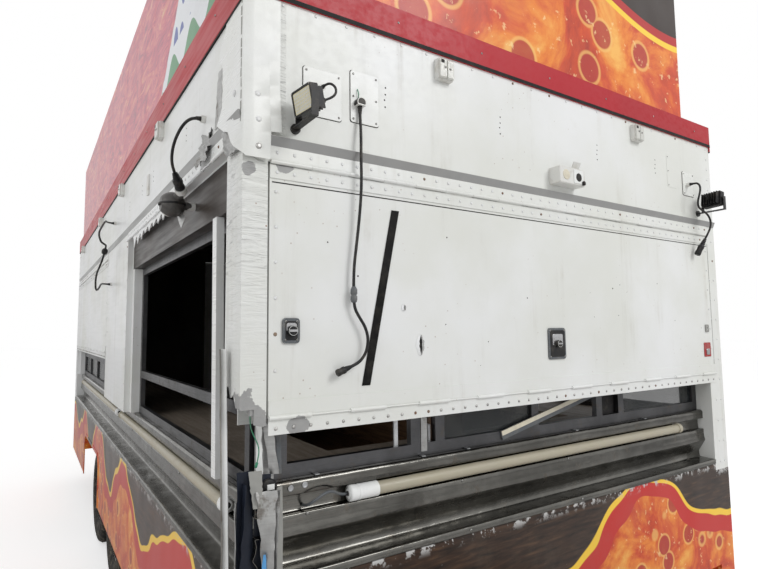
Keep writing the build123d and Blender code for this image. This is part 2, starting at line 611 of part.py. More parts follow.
# columns: half length of the leaf
LEAF_HALVES = [SPRING_HALF, 250.0, 170.0, 90.0]
with BuildPart() as leaf_springs:
    for y_sign in (-1, 1):
        for axle_x in AXLE_X:
            rise = EYE_Z - EYE_R + LEAF_THICK - SPRING_TOP
            bow_r = (SPRING_HALF ** 2 + rise ** 2) / (2 * rise)
            with BuildSketch(Plane.XZ.offset(-y_sign * RAIL_Y - SPRING_W / 2 + y_sign * RAIL_W / 2)):
                for index, half in enumerate(LEAF_HALVES):
                    outer_r = bow_r + LEAF_THICK * (index + 1)
                    inner_r = bow_r + LEAF_THICK * index
                    centre_z = SPRING_TOP + bow_r
                    sweep_angle = math.asin(half / bow_r)
                    with BuildLine():
                        tips = []
                        for radius in (inner_r, outer_r):
                            low = (axle_x, centre_z - radius)
                            left = (axle_x - radius * math.sin(sweep_angle), centre_z - radius * math.cos(sweep_angle))
                            right = (axle_x + radius * math.sin(sweep_angle), centre_z - radius * math.cos(sweep_angle))
                            ThreePointArc(left, low, right)
                            tips.append((left, right))
                        Line(tips[0][0], tips[1][0])
                        Line(tips[0][1], tips[1][1])
                    make_face()
                for x_sign in (-1, 1):
                    with Locations((axle_x + x_sign * SPRING_HALF, EYE_Z)):
                        Circle(EYE_R)
                for x_sign in (-1, 1):
                    with Locations((axle_x + x_sign * SPRING_HALF, EYE_Z)):
                        Circle(EYE_PIN_R + SPINDLE_GAP, mode=Mode.SUBTRACT)
            extrude(amount=SPRING_W)
            pack_bottom = SPRING_TOP - LEAF_THICK * len(LEAF_HALVES)
            spring_y = y_sign * (RAIL_Y - RAIL_W / 2)
            bolt_reach = AXLE_R + SEAT_GAP + U_BOLT_R
            with BuildSketch(Plane.XY.offset(pack_bottom - SPRING_PLATE_T)):
                with Locations((axle_x, spring_y)):
                    RectangleRounded(2 * (bolt_reach + SPRING_PLATE_MARGIN), SPRING_W + 30, 8)
            extrude(amount=SPRING_PLATE_T + LEAF_THICK / 4)
            for bolt_y in (spring_y - U_BOLT_SPREAD - U_BOLT_R, spring_y + U_BOLT_SPREAD + U_BOLT_R):
                low = pack_bottom - SPRING_PLATE_T - U_BOLT_TAIL
                with BuildLine(Plane.XZ.offset(-bolt_y)):
                    Line((axle_x - bolt_reach, low), (axle_x - bolt_reach, TYRE_R))
                    ThreePointArc((axle_x - bolt_reach, TYRE_R), (axle_x, TYRE_R + bolt_reach),
                                  (axle_x + bolt_reach, TYRE_R))
                    Line((axle_x + bolt_reach, TYRE_R), (axle_x + bolt_reach, low))
                with BuildSketch(Plane(origin=(axle_x - bolt_reach, bolt_y, low), x_dir=(1, 0, 0), z_dir=(0, 0, 1))):
                    Circle(U_BOLT_R)
                sweep()
leaf_springs.part.label = "leaf_springs"
export_step(leaf_springs.part, "parts/leaf_springs.step")

# Hangers: paired ears under each rail with a pin through the spring's eye
EAR_T = 6.0
EAR_CLEAR = 1.0
EAR_ROOT = 40.0
EAR_WAIST = 22.0
EAR_TOE = 14.0
EAR_DROP = 20.0
HANGER_PIN_OUT = 14.0
with BuildPart() as spring_hangers:
    for y_sign in (-1, 1):
        spring_y = y_sign * (RAIL_Y - RAIL_W / 2)
        eyes = [axle_x + x_sign * SPRING_HALF for axle_x in AXLE_X for x_sign in (-1, 1)]
        for eye_x in eyes:
            for ear_sign in (-1, 1):
                ear_y = spring_y + ear_sign * (SPRING_W / 2 + EAR_CLEAR)
                with BuildSketch(Plane.XZ.offset(-ear_y)):
                    with BuildLine():
                        Polyline((eye_x - EAR_ROOT, FRAME_BOTTOM), (eye_x + EAR_ROOT, FRAME_BOTTOM),
                                 (eye_x + EAR_WAIST, EYE_Z), (eye_x + EAR_TOE, EYE_Z - EAR_DROP),
                                 (eye_x - EAR_TOE, EYE_Z - EAR_DROP), (eye_x - EAR_WAIST, EYE_Z),
                                 (eye_x - EAR_ROOT, FRAME_BOTTOM))
                    make_face()
                extrude(amount=-ear_sign * EAR_T)
            with BuildSketch(Plane.XZ.offset(-spring_y - SPRING_W / 2 - HANGER_PIN_OUT)):
                with Locations((eye_x, EYE_Z)):
                    Circle(EYE_PIN_R)
            extrude(amount=SPRING_W + 2 * HANGER_PIN_OUT)
spring_hangers.part.label = "spring_hangers"
export_step(spring_hangers.part, "parts/spring_hangers.step")

# Wheels: a tyre on a pressed steel rim, four alike. Its disc stands outboard of the middle.
BEAD_INSET = 22.0
SHOULDER_DROP = 22.0
SHOULDER_IN = 12.0
CROWN_DROP = 4.0
DISC_OUT = 22.0
HUB_BACK = 38.0
HAND_HOLE_CIRCLE = 118.0
HAND_HOLE_R = 20.0
HAND_HOLES = 8
# columns: name, axle index, side
WHEEL_TABLE = [("front_right", 0, -1), ("rear_right", 1, -1), ("front_left", 0, 1), ("rear_left", 1, 1)]
for wheel_name, axle_index, y_sign in WHEEL_TABLE:
    wheel_x = AXLE_X[axle_index]
    hub_plane = Plane(origin=(wheel_x, y_sign * WHEEL_Y, TYRE_R), x_dir=(1, 0, 0), z_dir=(0, y_sign, 0))
    section_plane = Plane(origin=hub_plane.origin, x_dir=(1, 0, 0), z_dir=(0, 0, 1))
    half = TYRE_W / 2
    wheel_axis = Axis(hub_plane.origin, (0, 1, 0))
    with BuildPart() as tyre:
        with BuildSketch(section_plane):
            with BuildLine():
                bead = half - BEAD_INSET
                belly_r = (RIM_R + TYRE_R) / 2 - 10
                shoulder = (TYRE_R - SHOULDER_DROP, half - SHOULDER_IN)
                bend = (TYRE_R - 2 * CROWN_DROP, half - 20)
                tread = (TYRE_R - CROWN_DROP, half - TYRE_EDGE)
                Line((RIM_R, -bead), (RIM_R, bead))
                ThreePointArc((RIM_R, bead), (belly_r, half), shoulder)
                ThreePointArc(shoulder, bend, tread)
                ThreePointArc(tread, (TYRE_R, 0), (tread[0], -tread[1]))
                ThreePointArc((tread[0], -tread[1]), (bend[0], -bend[1]), (shoulder[0], -shoulder[1]))
                ThreePointArc((shoulder[0], -shoulder[1]), (belly_r, -half), (RIM_R, -bead))
            make_face()
        revolve(axis=wheel_axis)
    tyre.part.label = f"tyre_{wheel_name}"
    export_step(tyre.part, f"parts/tyre_{wheel_name}.step")
    with BuildPart() as rim:
        with BuildSketch(section_plane):
            outboard = y_sign
            with BuildLine():
                Polyline((RIM_R - SEAT_GAP, bead), (RIM_R - SEAT_GAP, -bead), (RIM_BEAD - RIM_SHEET, -bead),
                         (RIM_BEAD - RIM_SHEET, bead), (RIM_R - SEAT_GAP, bead))
            make_face()
            rect(HUB_R, RIM_BEAD - RIM_SHEET + 2, outboard * DISC_OUT, outboard * (DISC_OUT + RIM_SHEET))
            rect(SPINDLE_R + SPINDLE_GAP, HUB_R, outboard * -HUB_BACK, outboard * HUB_FACE)
        revolve(axis=wheel_axis)
        with BuildSketch(hub_plane.offset(HUB_FACE)):
            Circle(HUB_R - 4)
        extrude(amount=HUB_CAP_H, taper=HUB_CAP_TAPER)
        with BuildSketch(hub_plane):
            with PolarLocations(HAND_HOLE_CIRCLE, HAND_HOLES):
                Circle(HAND_HOLE_R)
        extrude(amount=HUB_FACE, mode=Mode.SUBTRACT)
        with BuildSketch(hub_plane.offset(DISC_OUT + RIM_SHEET)):
            with PolarLocations(LUG_CIRCLE_R, LUG_COUNT):
                RegularPolygon(LUG_R, 6)
        extrude(amount=LUG_H)
    rim.part.label = f"rim_{wheel_name}"
    export_step(rim.part, f"parts/rim_{wheel_name}.step")

# Belt sheet: one fold, drawn as distance out of the wall face and height above the sill
BELT_FOLD = [
    (SEAT_GAP - BELT_RECESS, 0.0),
    (-NOSE_D - 8.0, 0.0),
    (-NOSE_D, -8.0),
    (-NOSE_D, -TROUGH_TOP),
    (-TROUGH_D, -TROUGH_TOP),
    (-TROUGH_D, -TROUGH_TOP - TROUGH_H),
    (-NOSE_D, -TROUGH_TOP - TROUGH_H),
    (-NOSE_D + 5.0, -142.0),
    (-NOSE_D - 28.0, -196.0),
    (-NOSE_D - 25.0, -224.0),
    (LEDGE_OUT, -226.0),
    (LEDGE_OUT, -BELT_H + 1.0),
]


def belt_section(plane, sill):
    """Section of the folded sheet on a plane, with its counter edge at the sill's height."""
    with BuildSketch(plane) as section:
        with BuildLine():
            fold = Polyline(*[(out, sill - SEAT_GAP + up) for out, up in BELT_FOLD])
            offset(fold, amount=BELT_SHEET, side=Side.RIGHT)
        make_face()
    return section.sketch


# A grommet in the front trough's back, where the lamp's lead goes in: distance in from the side wall's face
GROMMET_INSET = 204.5
GROMMET_Z = 1065.5
GROMMET_R = 9.5
GROMMET_BORE = 5.0
GROMMET_OUT = 4.0
with BuildPart() as front_belt:
    belt_start = front_section(BAY_FRONT_HALF - SEAT_GAP)
    extrude(belt_section(belt_start, SILL_FRONT), amount=2 * (BAY_FRONT_HALF - SEAT_GAP))
    with BuildSketch(yz_plane(back(TROUGH_D))):
        with Locations((GROMMET_INSET - HALF_W, GROMMET_Z)):
            Circle(GROMMET_R)
            Circle(GROMMET_BORE, mode=Mode.SUBTRACT)
    extrude(amount=GROMMET_OUT)
front_belt.part.label = "front_belt"
export_step(front_belt.part, "parts/front_belt.step")

# columns: name, side, front end of the belt as a distance behind the front wall
SIDE_BELTS = [("right_belt", -1, 10.0), ("left_belt", 1, POST_X + SEAT_GAP)]
for name, y_sign, belt_start in SIDE_BELTS:
    with BuildPart() as side_belt:
        belt_face = belt_section(side_section(y_sign, back(belt_start)), SILL_SIDE)
        extrude(belt_face, amount=-y_sign * (BAY_REAR_END - belt_start - SEAT_GAP))
    side_belt.part.label = name
    export_step(side_belt.part, f"parts/{name}.step")

# Tube lamps in the belts' troughs, each with a cap at both ends
TUBE_FRONT_HALF = 880.0
# columns: front end and rear end of a side tube, as distances behind the front wall
SIDE_TUBES = [(240.0, 2330.0), (2450.0, 5050.0)]
FRONT_TUBE_Z = SILL_FRONT - TROUGH_TOP - TROUGH_H / 2
SIDE_TUBE_Z = SILL_SIDE - TROUGH_TOP - TROUGH_H / 2
with BuildPart() as tube_lamps:
    front_tube = Plane(origin=(back(TUBE_DEPTH), 0, FRONT_TUBE_Z), x_dir=(1, 0, 0), z_dir=(0, 1, 0))
    with BuildSketch(front_tube):
        Circle(TUBE_D / 2)
    extrude(amount=TUBE_FRONT_HALF, both=True)
    for end_sign in (-1, 1):
        with BuildSketch(front_tube.offset(end_sign * (TUBE_FRONT_HALF - TUBE_CAP_L / 2))):
            Circle(TUBE_CAP_D / 2)
        extrude(amount=TUBE_CAP_L / 2, both=True)
    for y_sign in (-1, 1):
        for tube_front, tube_rear in SIDE_TUBES:
            tube_half = (tube_rear - tube_front) / 2
            middle = (back((tube_front + tube_rear) / 2), y_sign * (HALF_W - TUBE_DEPTH), SIDE_TUBE_Z)
            side_tube = Plane(origin=middle, x_dir=(0, 1, 0), z_dir=(1, 0, 0))
            with BuildSketch(side_tube):
                Circle(TUBE_D / 2)
            extrude(amount=tube_half, both=True)
            for end_sign in (-1, 1):
                with BuildSketch(side_tube.offset(end_sign * (tube_half - TUBE_CAP_L / 2))):
                    Circle(TUBE_CAP_D / 2)
                extrude(amount=TUBE_CAP_L / 2, both=True)
tube_lamps.part.label = "tube_lamps"
export_step(tube_lamps.part, "parts/tube_lamps.step")

# Piano hinges: a fixed leaf over each bay with its knuckles and pin, and a moving leaf on the awning
KNUCKLE_PITCH = 120.0
KNUCKLE_GAP = 1.0
PIN_R = 2.5
BORE_R = 2.8
LEAF_CLEAR = KNUCKLE_D / 2 + 1.5
HINGE_OUT = KNUCKLE_D / 2


def hinge_part(middle, along, outward, length, moving):
    """One side of a piano hinge, centred on its pin. The moving side hangs, the fixed side carries the pin."""
    pin_plane = Plane(origin=middle, x_dir=outward, z_dir=along)
    count = max(3, round(length / KNUCKLE_PITCH))
    pitch = length / count
    up = -1 if moving else 1
    vertical = 1 if pin_plane.y_dir.Z > 0 else -1
    with BuildPart() as side:
        with BuildSketch(pin_plane.offset(-length / 2)):
            rect(-HINGE_OUT, LEAF_T - HINGE_OUT, vertical * up * LEAF_CLEAR, vertical * up * LEAF_H)
        extrude(amount=length)
        for index in range(count):
            if (index % 2 == 1) != moving:
                continue
            start = -length / 2 + index * pitch + KNUCKLE_GAP / 2
            with BuildSketch(pin_plane.offset(start)):
                rect(-HINGE_OUT, LEAF_T - HINGE_OUT, 0, vertical * up * (LEAF_CLEAR + 1))
                Circle(KNUCKLE_D / 2)
                if moving:
                    Circle(BORE_R, mode=Mode.SUBTRACT)
            extrude(amount=pitch - KNUCKLE_GAP)
        if not moving:
            with BuildSketch(pin_plane.offset(-length / 2)):
                Circle(PIN_R)
            extrude(amount=length)
    return side.part


# columns: name, middle of the hinge pin, direction along the wall, outward direction, width, height, whether it is there
FRONT_AWNING_W = 2 * (BAY_FRONT_HALF + REBATE_LAP - SWING_GAP)
NEAR_START = POST_X + SWING_GAP
NEAR_W = BAY_NEAR_END + REBATE_LAP - SWING_GAP - NEAR_START
NEAR_MID = back(NEAR_START + NEAR_W / 2)
FAR_START = BAY_REAR_START - REBATE_LAP + SWING_GAP
FAR_W = BAY_REAR_END + REBATE_LAP - SWING_GAP - FAR_START
FAR_MID = back(FAR_START + FAR_W / 2)
SIDE_PIN_Y = HALF_W + HINGE_OUT
AWNINGS = [
    ("awning_front", (FRONT_X + HINGE_OUT, 0, HINGE_FRONT), (0, 1, 0), (1, 0, 0), FRONT_AWNING_W,
     AWNING_FRONT_H, True),
    ("awning_right_near", (NEAR_MID, -SIDE_PIN_Y, HINGE_SIDE), (1, 0, 0), (0, -1, 0), NEAR_W, AWNING_SIDE_H, False),
    ("awning_right_rear", (FAR_MID, -SIDE_PIN_Y, HINGE_SIDE), (1, 0, 0), (0, -1, 0), FAR_W, AWNING_SIDE_H, True),
    ("awning_left_near", (NEAR_MID, SIDE_PIN_Y, HINGE_SIDE), (1, 0, 0), (0, 1, 0), NEAR_W, AWNING_SIDE_H, True),
    ("awning_left_rear", (FAR_MID, SIDE_PIN_Y, HINGE_SIDE), (1, 0, 0), (0, 1, 0), FAR_W, AWNING_SIDE_H, True),
]
# A dark strip left on the front awning, and its two turn latches
STRIP_T = 2.0
# columns: place across the front, height
STRIP_OUTLINE = [(-752.0, 1909.0), (-726.0, 1909.0), (-836.0, 1387.0), (-862.0, 1387.0)]
# columns: place across the front, height, width, height of the plate, its thickness
AWNING_LATCHES = [(-12.5, 1488.5, 95.0, 115.0, 5.0), (-1083.5, 1545.5, 49.0, 67.0, 6.0)]
LATCH_KNOB_R = 13.0
LATCH_KNOB_H = 14.0
AWNING_SKIN = 3.0
AWNING_TUBE = 25.0
AWNING_CELL = 620.0
# columns: middle of the wall's face at the hinge, direction along it, outward direction, length of the rail
DRIP_RAILS = [
    ((FRONT_X, 0, HINGE_FRONT), (0, 1, 0), (1, 0, 0), BODY_W - 8),
    (((FRONT_X + back(BAY_REAR_END)) / 2 - 4, -HALF_W, HINGE_SIDE), (1, 0, 0), (0, -1, 0), BAY_REAR_END - 8),
    (((FRONT_X + back(BAY_REAR_END)) / 2 - 4, HALF_W, HINGE_SIDE), (1, 0, 0), (0, 1, 0), BAY_REAR_END - 8),
]
# What is left of the missing awning's moving leaf, seized on its pin: a row of torn teeth
TORN_START = 830.0
TORN_PITCH = 103.0
TORN_ROOT = 20.0
# drop of each tooth's tip under the pin
TORN_TEETH = [54.0, 50.0, 46.0, 41.0, 47.0, 39.0, 55.0, 61.0, 66.0]
with BuildPart() as hinge_leaves:
    for name, middle, along, outward, width, height, present in AWNINGS:
        add(hinge_part(middle, along, outward, width, False))
    for foot, along, outward, rail_l in DRIP_RAILS:
        rail_plane = Plane(origin=foot, x_dir=outward, z_dir=along)
        vertical = 1 if rail_plane.y_dir.Z > 0 else -1
        low = LEAF_H + SEAT_GAP
        high = low + DRIP_H
        with BuildSketch(rail_plane.offset(-rail_l / 2)):
            with BuildLine():
                Polyline((SEAT_GAP, vertical * low), (RAIL_STANDOFF, vertical * low), (DRIP_OUT, vertical * high),
                         (SEAT_GAP, vertical * high), (SEAT_GAP, vertical * low))
            make_face()
        extrude(amount=rail_l)
    torn_edge = [(back(TORN_START), HINGE_SIDE)]
    for index, tip in enumerate(TORN_TEETH):
        tooth = TORN_START + index * TORN_PITCH
        torn_edge.append((back(tooth), HINGE_SIDE - TORN_ROOT))
        torn_edge.append((back(tooth + 0.55 * TORN_PITCH), HINGE_SIDE - tip))
        torn_edge.append((back(tooth + 0.72 * TORN_PITCH), HINGE_SIDE - TORN_ROOT))
    torn_edge.append((back(tooth + TORN_PITCH), HINGE_SIDE))
    with BuildSketch(side_plane()):
        with BuildLine():
            Polyline(*torn_edge, torn_edge[0])
        make_face()
    extrude(amount=LEAF_T)
hinge_leaves.part.label = "hinge_leaves"
export_step(hinge_leaves.part, "parts/hinge_leaves.step")

for name, middle, along, outward, width, height, present in AWNINGS:
    if not present:
        continue
    face = Plane(origin=middle, x_dir=along, z_dir=outward).offset(-HINGE_OUT)
    vertical = 1 if face.y_dir.Z > 0 else -1
    top = -vertical * SWING_GAP
    bottom = -vertical * (SWING_GAP + height)
    cells = max(2, round(width / AWNING_CELL))
    cell_w = (width - AWNING_TUBE) / cells
    lower_pin = Vector(*middle) - Vector(0, 0, SWING_GAP + height)
    with BuildPart() as awning:
        with BuildSketch(face):
            rect(-width / 2, width / 2, bottom, top)
        extrude(amount=-AWNING_SKIN)
        with BuildSketch(face):
            rect(-width / 2, width / 2, bottom, top)
            with Locations((0, (top + bottom) / 2)):
                with GridLocations(cell_w, 0, cells, 1):
                    Rectangle(cell_w - AWNING_TUBE, height - 2 * AWNING_TUBE, mode=Mode.SUBTRACT)
        extrude(amount=-AWNING_T)
        add(hinge_part(middle, along, outward, width, True))
        add(hinge_part(lower_pin, along, outward, width, False))
        with BuildSketch(face.offset(LEAF_T)):
            rect(-width / 2, width / 2, bottom - vertical * LEAF_CLEAR, bottom - vertical * LEAF_H)
        extrude(amount=-LEAF_T)
        with BuildSketch(Plane(origin=lower_pin, x_dir=outward, z_dir=along).offset(-width / 2)):
            rect(-HINGE_OUT, LEAF_T - HINGE_OUT, -LEAF_CLEAR - 1, LEAF_CLEAR + 1)
        extrude(amount=width)
        if name == "awning_front":
            with BuildSketch(face):
                with BuildLine():
                    Polyline(*[(y, z - HINGE_FRONT) for y, z in STRIP_OUTLINE + STRIP_OUTLINE[:1]])
                make_face()
            extrude(amount=STRIP_T)
            for latch_y, latch_z, latch_w, latch_h, latch_t in AWNING_LATCHES:
                with BuildSketch(face):
                    with Locations((latch_y, latch_z - HINGE_FRONT)):
                        RectangleRounded(latch_w, latch_h, 10)
                extrude(amount=latch_t)
                with BuildSketch(face.offset(latch_t)):
                    with Locations((latch_y, latch_z - HINGE_FRONT)):
                        Circle(LATCH_KNOB_R)
                extrude(amount=LATCH_KNOB_H)
    awning.part.label = name
    export_step(awning.part, f"parts/{name}.step")

# Window frames: aluminium bars set back in each bay, with sliding sashes' meeting bars
WINDOW_DEPTH = 72.0
WINDOW_T = 22.0
WINDOW_BAR = 38.0
RAIL_DROP = 560.0
# columns: name, bay plane, bay's low and high limits along it, sill, places of the upright bars
WINDOW_TABLE = [
    ("window_frame_front", yz_plane(back(WINDOW_DEPTH)), -BAY_FRONT_HALF, BAY_FRONT_HALF, SILL_FRONT,
     [-620.0, -520.0, -60.0, 330.0, 480.0]),
    ("window_frame_right", side_plane(WINDOW_DEPTH), back(BAY_NEAR_END), back(POST_X), SILL_SIDE, []),
    ("window_frame_right_rear", side_plane(WINDOW_DEPTH), back(BAY_REAR_END), back(BAY_REAR_START), SILL_SIDE,
     [back(BAY_REAR_START + SASH_W), back(BAY_REAR_START + 2 * SASH_W), back(BAY_REAR_START + 3 * SASH_W)]),
]
for name, bay_plane, bay_low, bay_high, sill, uprights in WINDOW_TABLE:
    with BuildPart() as window_frame:
        with BuildSketch(bay_plane):
            low = bay_low + SEAT_GAP
            high = bay_high - SEAT_GAP
            rect(low, high, sill + SEAT_GAP, HEAD_Z - SEAT_GAP)
            rect(low + WINDOW_BAR, high - WINDOW_BAR, sill + WINDOW_BAR, HEAD_Z - WINDOW_BAR, mode=Mode.SUBTRACT)
            for upright in uprights:
                rect(upright - WINDOW_BAR / 2, upright + WINDOW_BAR / 2, sill + WINDOW_BAR / 2, HEAD_Z - WINDOW_BAR / 2)
            rect(low, high, HEAD_Z - RAIL_DROP - WINDOW_BAR, HEAD_Z - RAIL_DROP)
        extrude(amount=-WINDOW_T)
    window_frame.part.label = name
    export_step(window_frame.part, f"parts/{name}.step")
with BuildPart() as left_windows:
    for name, bay_plane, bay_low, bay_high, sill, uprights in WINDOW_TABLE[1:]:
        with BuildSketch(Plane.XZ.offset(-HALF_W + WINDOW_DEPTH)):
            low = bay_low + SEAT_GAP
            high = bay_high - SEAT_GAP
            rect(low, high, sill + SEAT_GAP, HEAD_Z - SEAT_GAP)
            rect(low + WINDOW_BAR, high - WINDOW_BAR, sill + WINDOW_BAR, HEAD_Z - WINDOW_BAR, mode=Mode.SUBTRACT)
            for upright in uprights:
                rect(upright - WINDOW_BAR / 2, upright + WINDOW_BAR / 2, sill + WINDOW_BAR / 2, HEAD_Z - WINDOW_BAR / 2)
            rect(low, high, HEAD_Z - RAIL_DROP - WINDOW_BAR, HEAD_Z - RAIL_DROP)
        extrude(amount=WINDOW_T)
left_windows.part.label = "window_frames_left"
export_step(left_windows.part, "parts/window_frames_left.step")

# Counter boards inside the bays, on brackets from the walls
COUNTER_T = 28.0
COUNTER_W = 420.0
COUNTER_DROP = 20.0
with BuildPart() as counter_boards:
    with BuildSketch(Plane.XY.offset(SILL_SIDE - COUNTER_DROP - COUNTER_T)):
        inner_y = HALF_W - WALL_T - SEAT_GAP
        inner_x = back(WALL_T + SEAT_GAP)
        rect(inner_x - COUNTER_W, inner_x, -BAY_FRONT_HALF + 30, BAY_FRONT_HALF - 30)
        for y_sign in (-1, 1):
            rect(back(BAY_REAR_END), back(POST_X + 30), y_sign * (inner_y - COUNTER_W), y_sign * inner_y)
        for y_sign in (-1, 1):
            rect(inner_x - 60, FRONT_X, y_sign * (BAY_FRONT_HALF - 30), y_sign * HALF_W, mode=Mode.SUBTRACT)
    extrude(amount=COUNTER_T)
counter_boards.part.label = "counter_boards"
export_step(counter_boards.part, "parts/counter_boards.step")

# Marker lamps along the top of the walls, and tail lamps low on the rear wall
LAMP_W = 66.0
LAMP_H = 72.0
LAMP_T = 30.0
LAMP_EASE = 8.0
TAIL_W = 90.0
TAIL_H = 180.0
TAIL_EASE = 20.0
TAIL_INSET = 170.0
TAIL_Z = FRAME_TOP + 120.0
MARKER_Z = ROOF_Z - TRIM_H - 55.0
# columns: place along the wall, for the front wall then for each side
FRONT_MARKERS = [-539.0, 15.0, 569.0]
SIDE_MARKERS = [1047.0, 2180.0, 3300.0, 4900.0]
with BuildPart() as marker_lamps:
    with BuildSketch(yz_plane(FRONT_X + SEAT_GAP)):
        for place in (FRONT_MARKERS[0], FRONT_MARKERS[-1]):
            with Locations((place, MARKER_Z)):
                RectangleRounded(LAMP_W, LAMP_H, LAMP_EASE)
    extrude(amount=LAMP_T)
    for y_sign in (-1, 1):
        lamp_plane = side_plane(-SEAT_GAP) if y_sign < 0 else Plane.XZ.offset(-HALF_W - SEAT_GAP)
        with BuildSketch(lamp_plane):
            for place in SIDE_MARKERS:
                with Locations((back(place), MARKER_Z)):
                    RectangleRounded(LAMP_W, LAMP_H, LAMP_EASE)
        extrude(amount=-y_sign * LAMP_T)
        with BuildSketch(yz_plane(REAR_X - SEAT_GAP)):
            with Locations((y_sign * (HALF_W - TAIL_INSET), TAIL_Z)):
                RectangleRounded(TAIL_W, TAIL_H, TAIL_EASE)
            with Locations((y_sign * (HALF_W - TAIL_INSET), MARKER_Z)):
                RectangleRounded(LAMP_W, LAMP_H, LAMP_EASE)
        extrude(amount=-LAMP_T)
marker_lamps.part.label = "marker_lamps"
export_step(marker_lamps.part, "parts/marker_lamps.step")

# Routes of the cords on the front: how far out of the wall, distance in from the side wall's face, height
FRONT_CORD_D = 9.0
FRONT_CORD = [
    (12.0, 351.0, 2208.0), (12.0, 351.0, 2172.0), (20.0, 349.0, 2130.0), (26.0, 345.0, 2050.0),
    (26.0, 346.0, 1960.0), (23.0, 340.0, 1870.0), (20.0, 331.0, 1790.0), (19.0, 322.0, 1720.0),
    (19.0, 321.0, 1645.0), (19.0, 323.5, 1607.0), (20.0, 340.0, 1580.0), (22.0, 358.0, 1553.0),
    (22.0, 367.0, 1520.0), (21.0, 362.0, 1486.0), (20.0, 346.0, 1462.0), (20.0, 328.0, 1450.0),
    (20.0, 309.0, 1443.0),
]
FLOOD_CORD_D = 7.0
FLOOD_CORD = [
    (31.0, 217.0, 2227.0), (47.0, 217.0, 2227.0), (63.0, 225.0, 2228.0), (75.0, 236.0, 2214.0),
    (78.0, 235.0, 2193.0), (75.0, 219.0, 2178.0), (73.0, 202.0, 2170.0),
]
FAR_CORD_D = 9.0
FAR_CORD = [
    (18.0, 235.0, 2232.0), (36.0, 235.0, 2232.0), (54.0, 239.0, 2229.0), (68.0, 245.0, 2214.0),
    (72.0, 252.0, 2190.0), (68.0, 258.0, 2162.0), (60.0, 258.0, 2136.0), (54.0, 244.0, 2114.0),
    (54.0, 216.0, 2102.0), (58.0, 188.0, 2092.0), (64.0, 166.0, 2072.0), (66.0, 158.0, 2042.0),
    (62.0, 164.0, 2012.0), (54.0, 175.0, 1986.0), (47.0, 184.0, 1965.0),
]
BELT_CORD_D = 8.0
BELT_CORD = [
    (-47.7, 340.0, 1078.0), (-47.7, 323.0, 1078.0), (-42.0, 302.0, 1085.0), (-30.0, 276.0, 1100.0),
    (-22.0, 248.0, 1100.0), (-22.0, 224.0, 1088.0), (-34.0, 210.0, 1075.0), (-51.0, 205.0, 1067.0),
    (-69.0, 204.5, 1065.5),
]
GREEN_WIRE_D = 3.0
GREEN_WIRE = [
    (-20.0, 34.0, 1330.0), (-20.0, 34.0, 1302.0), (-20.0, 45.0, 1276.0), (-20.0, 58.0, 1250.0),
    (-20.0, 59.0, 1228.0), (-20.0, 54.0, 1210.0),
]
# Routes of the cords on the right side: distance behind the front wall, how far out of the wall, height
SIDE_CORD_D = 10.0
SIDE_CORD = [
    (368.0, 14.0, 2224.0), (368.0, 33.0, 2224.0), (378.0, 54.0, 2214.0), (400.0, 68.0, 2194.0),
    (426.0, 77.0, 2168.0), (447.0, 82.0, 2138.0), (458.0, 82.0, 2108.0), (472.0, 76.0, 2086.0),
    (491.0, 64.0, 2070.0),
]
LONG_CORD_D = 11.0
LONG_CORD = [
    (2490.0, 12.0, 2256.0), (2490.0, 32.0, 2256.0), (2463.0, 56.0, 2254.0), (2409.0, 66.0, 2250.0),
    (2343.0, 78.0, 2236.0), (2273.0, 95.0, 2206.0), (2211.0, 112.0, 2170.0), (2167.0, 126.0, 2140.0),
    (2133.0, 130.0, 2110.0), (2133.0, 120.0, 2076.0), (2165.0, 102.0, 2068.0), (2203.0, 88.0, 2070.0),
    (2240.0, 80.0, 2065.6), (2275.0, 80.0, 2053.0),
]
LONG_CORD_TAIL = [
    (2335.0, 80.0, 2031.4), (2360.0, 80.0, 2022.4), (2378.0, 84.0, 2000.0), (2381.0, 92.0, 1974.0),
    (2365.0, 102.0, 1946.0), (2337.0, 112.0, 1924.0), (2305.0, 120.0, 1900.0), (2283.0, 126.0, 1868.0),
    (2283.0, 126.0, 1836.0), (2309.0, 122.0, 1814.0), (2353.0, 112.0, 1806.0), (2407.0, 98.0, 1820.0),
    (2465.0, 84.0, 1842.0), (2523.0, 74.0, 1858.0), (2569.0, 62.0, 1866.0), (2597.0, 48.0, 1868.0),
    (2611.0, 29.0, 1868.0), (2611.0, 10.0, 1868.0),
]


def on_front(route, y_sign):
    """Row points of a route that is measured on the front wall."""
    return [(FRONT_X + out, y_sign * (HALF_W - inset), height) for out, inset, height in route]


def on_side(route):
    """Row points of a route that is measured on the right wall."""
    return [(back(place), -HALF_W - out, height) for place, out, height in route]


SIDE_PLUG_R = 17.0
SIDE_PLUG_L = 66.0
side_end = on_side(SIDE_CORD)[-2:]

# Outlet box and cover plates on the front wall, and the glands and socket that the cords come out of
OUTLET_PLACE = (57.0, 2126.0)
OUTLET_W = 150.0
OUTLET_H = 66.0
OUTLET_OUT = 48.0
OUTLET_EASE = 6.0
PLATE_T = 3.0
PLATE_EASE = 8.0
GLAND_R = 10.0
HOOD_R = 15.0
HOOD_H = 24.0
CORD_HOLE_DROP = 9.0
# columns: side, distance in from the side wall's face, height, width, height of the plate
COVER_PLATES = [(-1, 232.0, 2221.0, 122.0, 140.0), (-1, 373.0, 2239.0, 98.0, 158.0), (1, 221.0, 2237.0, 100.0, 115.0)]
# columns: side, distance in from the side wall's face, height, how far the gland stands out of the wall
FRONT_GLANDS = [(-1, 217.0, 2227.0, 31.0), (1, 235.0, 2232.0, 18.0)]
# columns: distance behind the front wall, height, how far the gland stands out of the wall
SIDE_GLANDS = [(368.0, 2224.0, 14.0), (2490.0, 2256.0, 12.0), (2611.0, 1868.0, 10.0)]
HOOD_PLACE = (351.0, 2217.0)
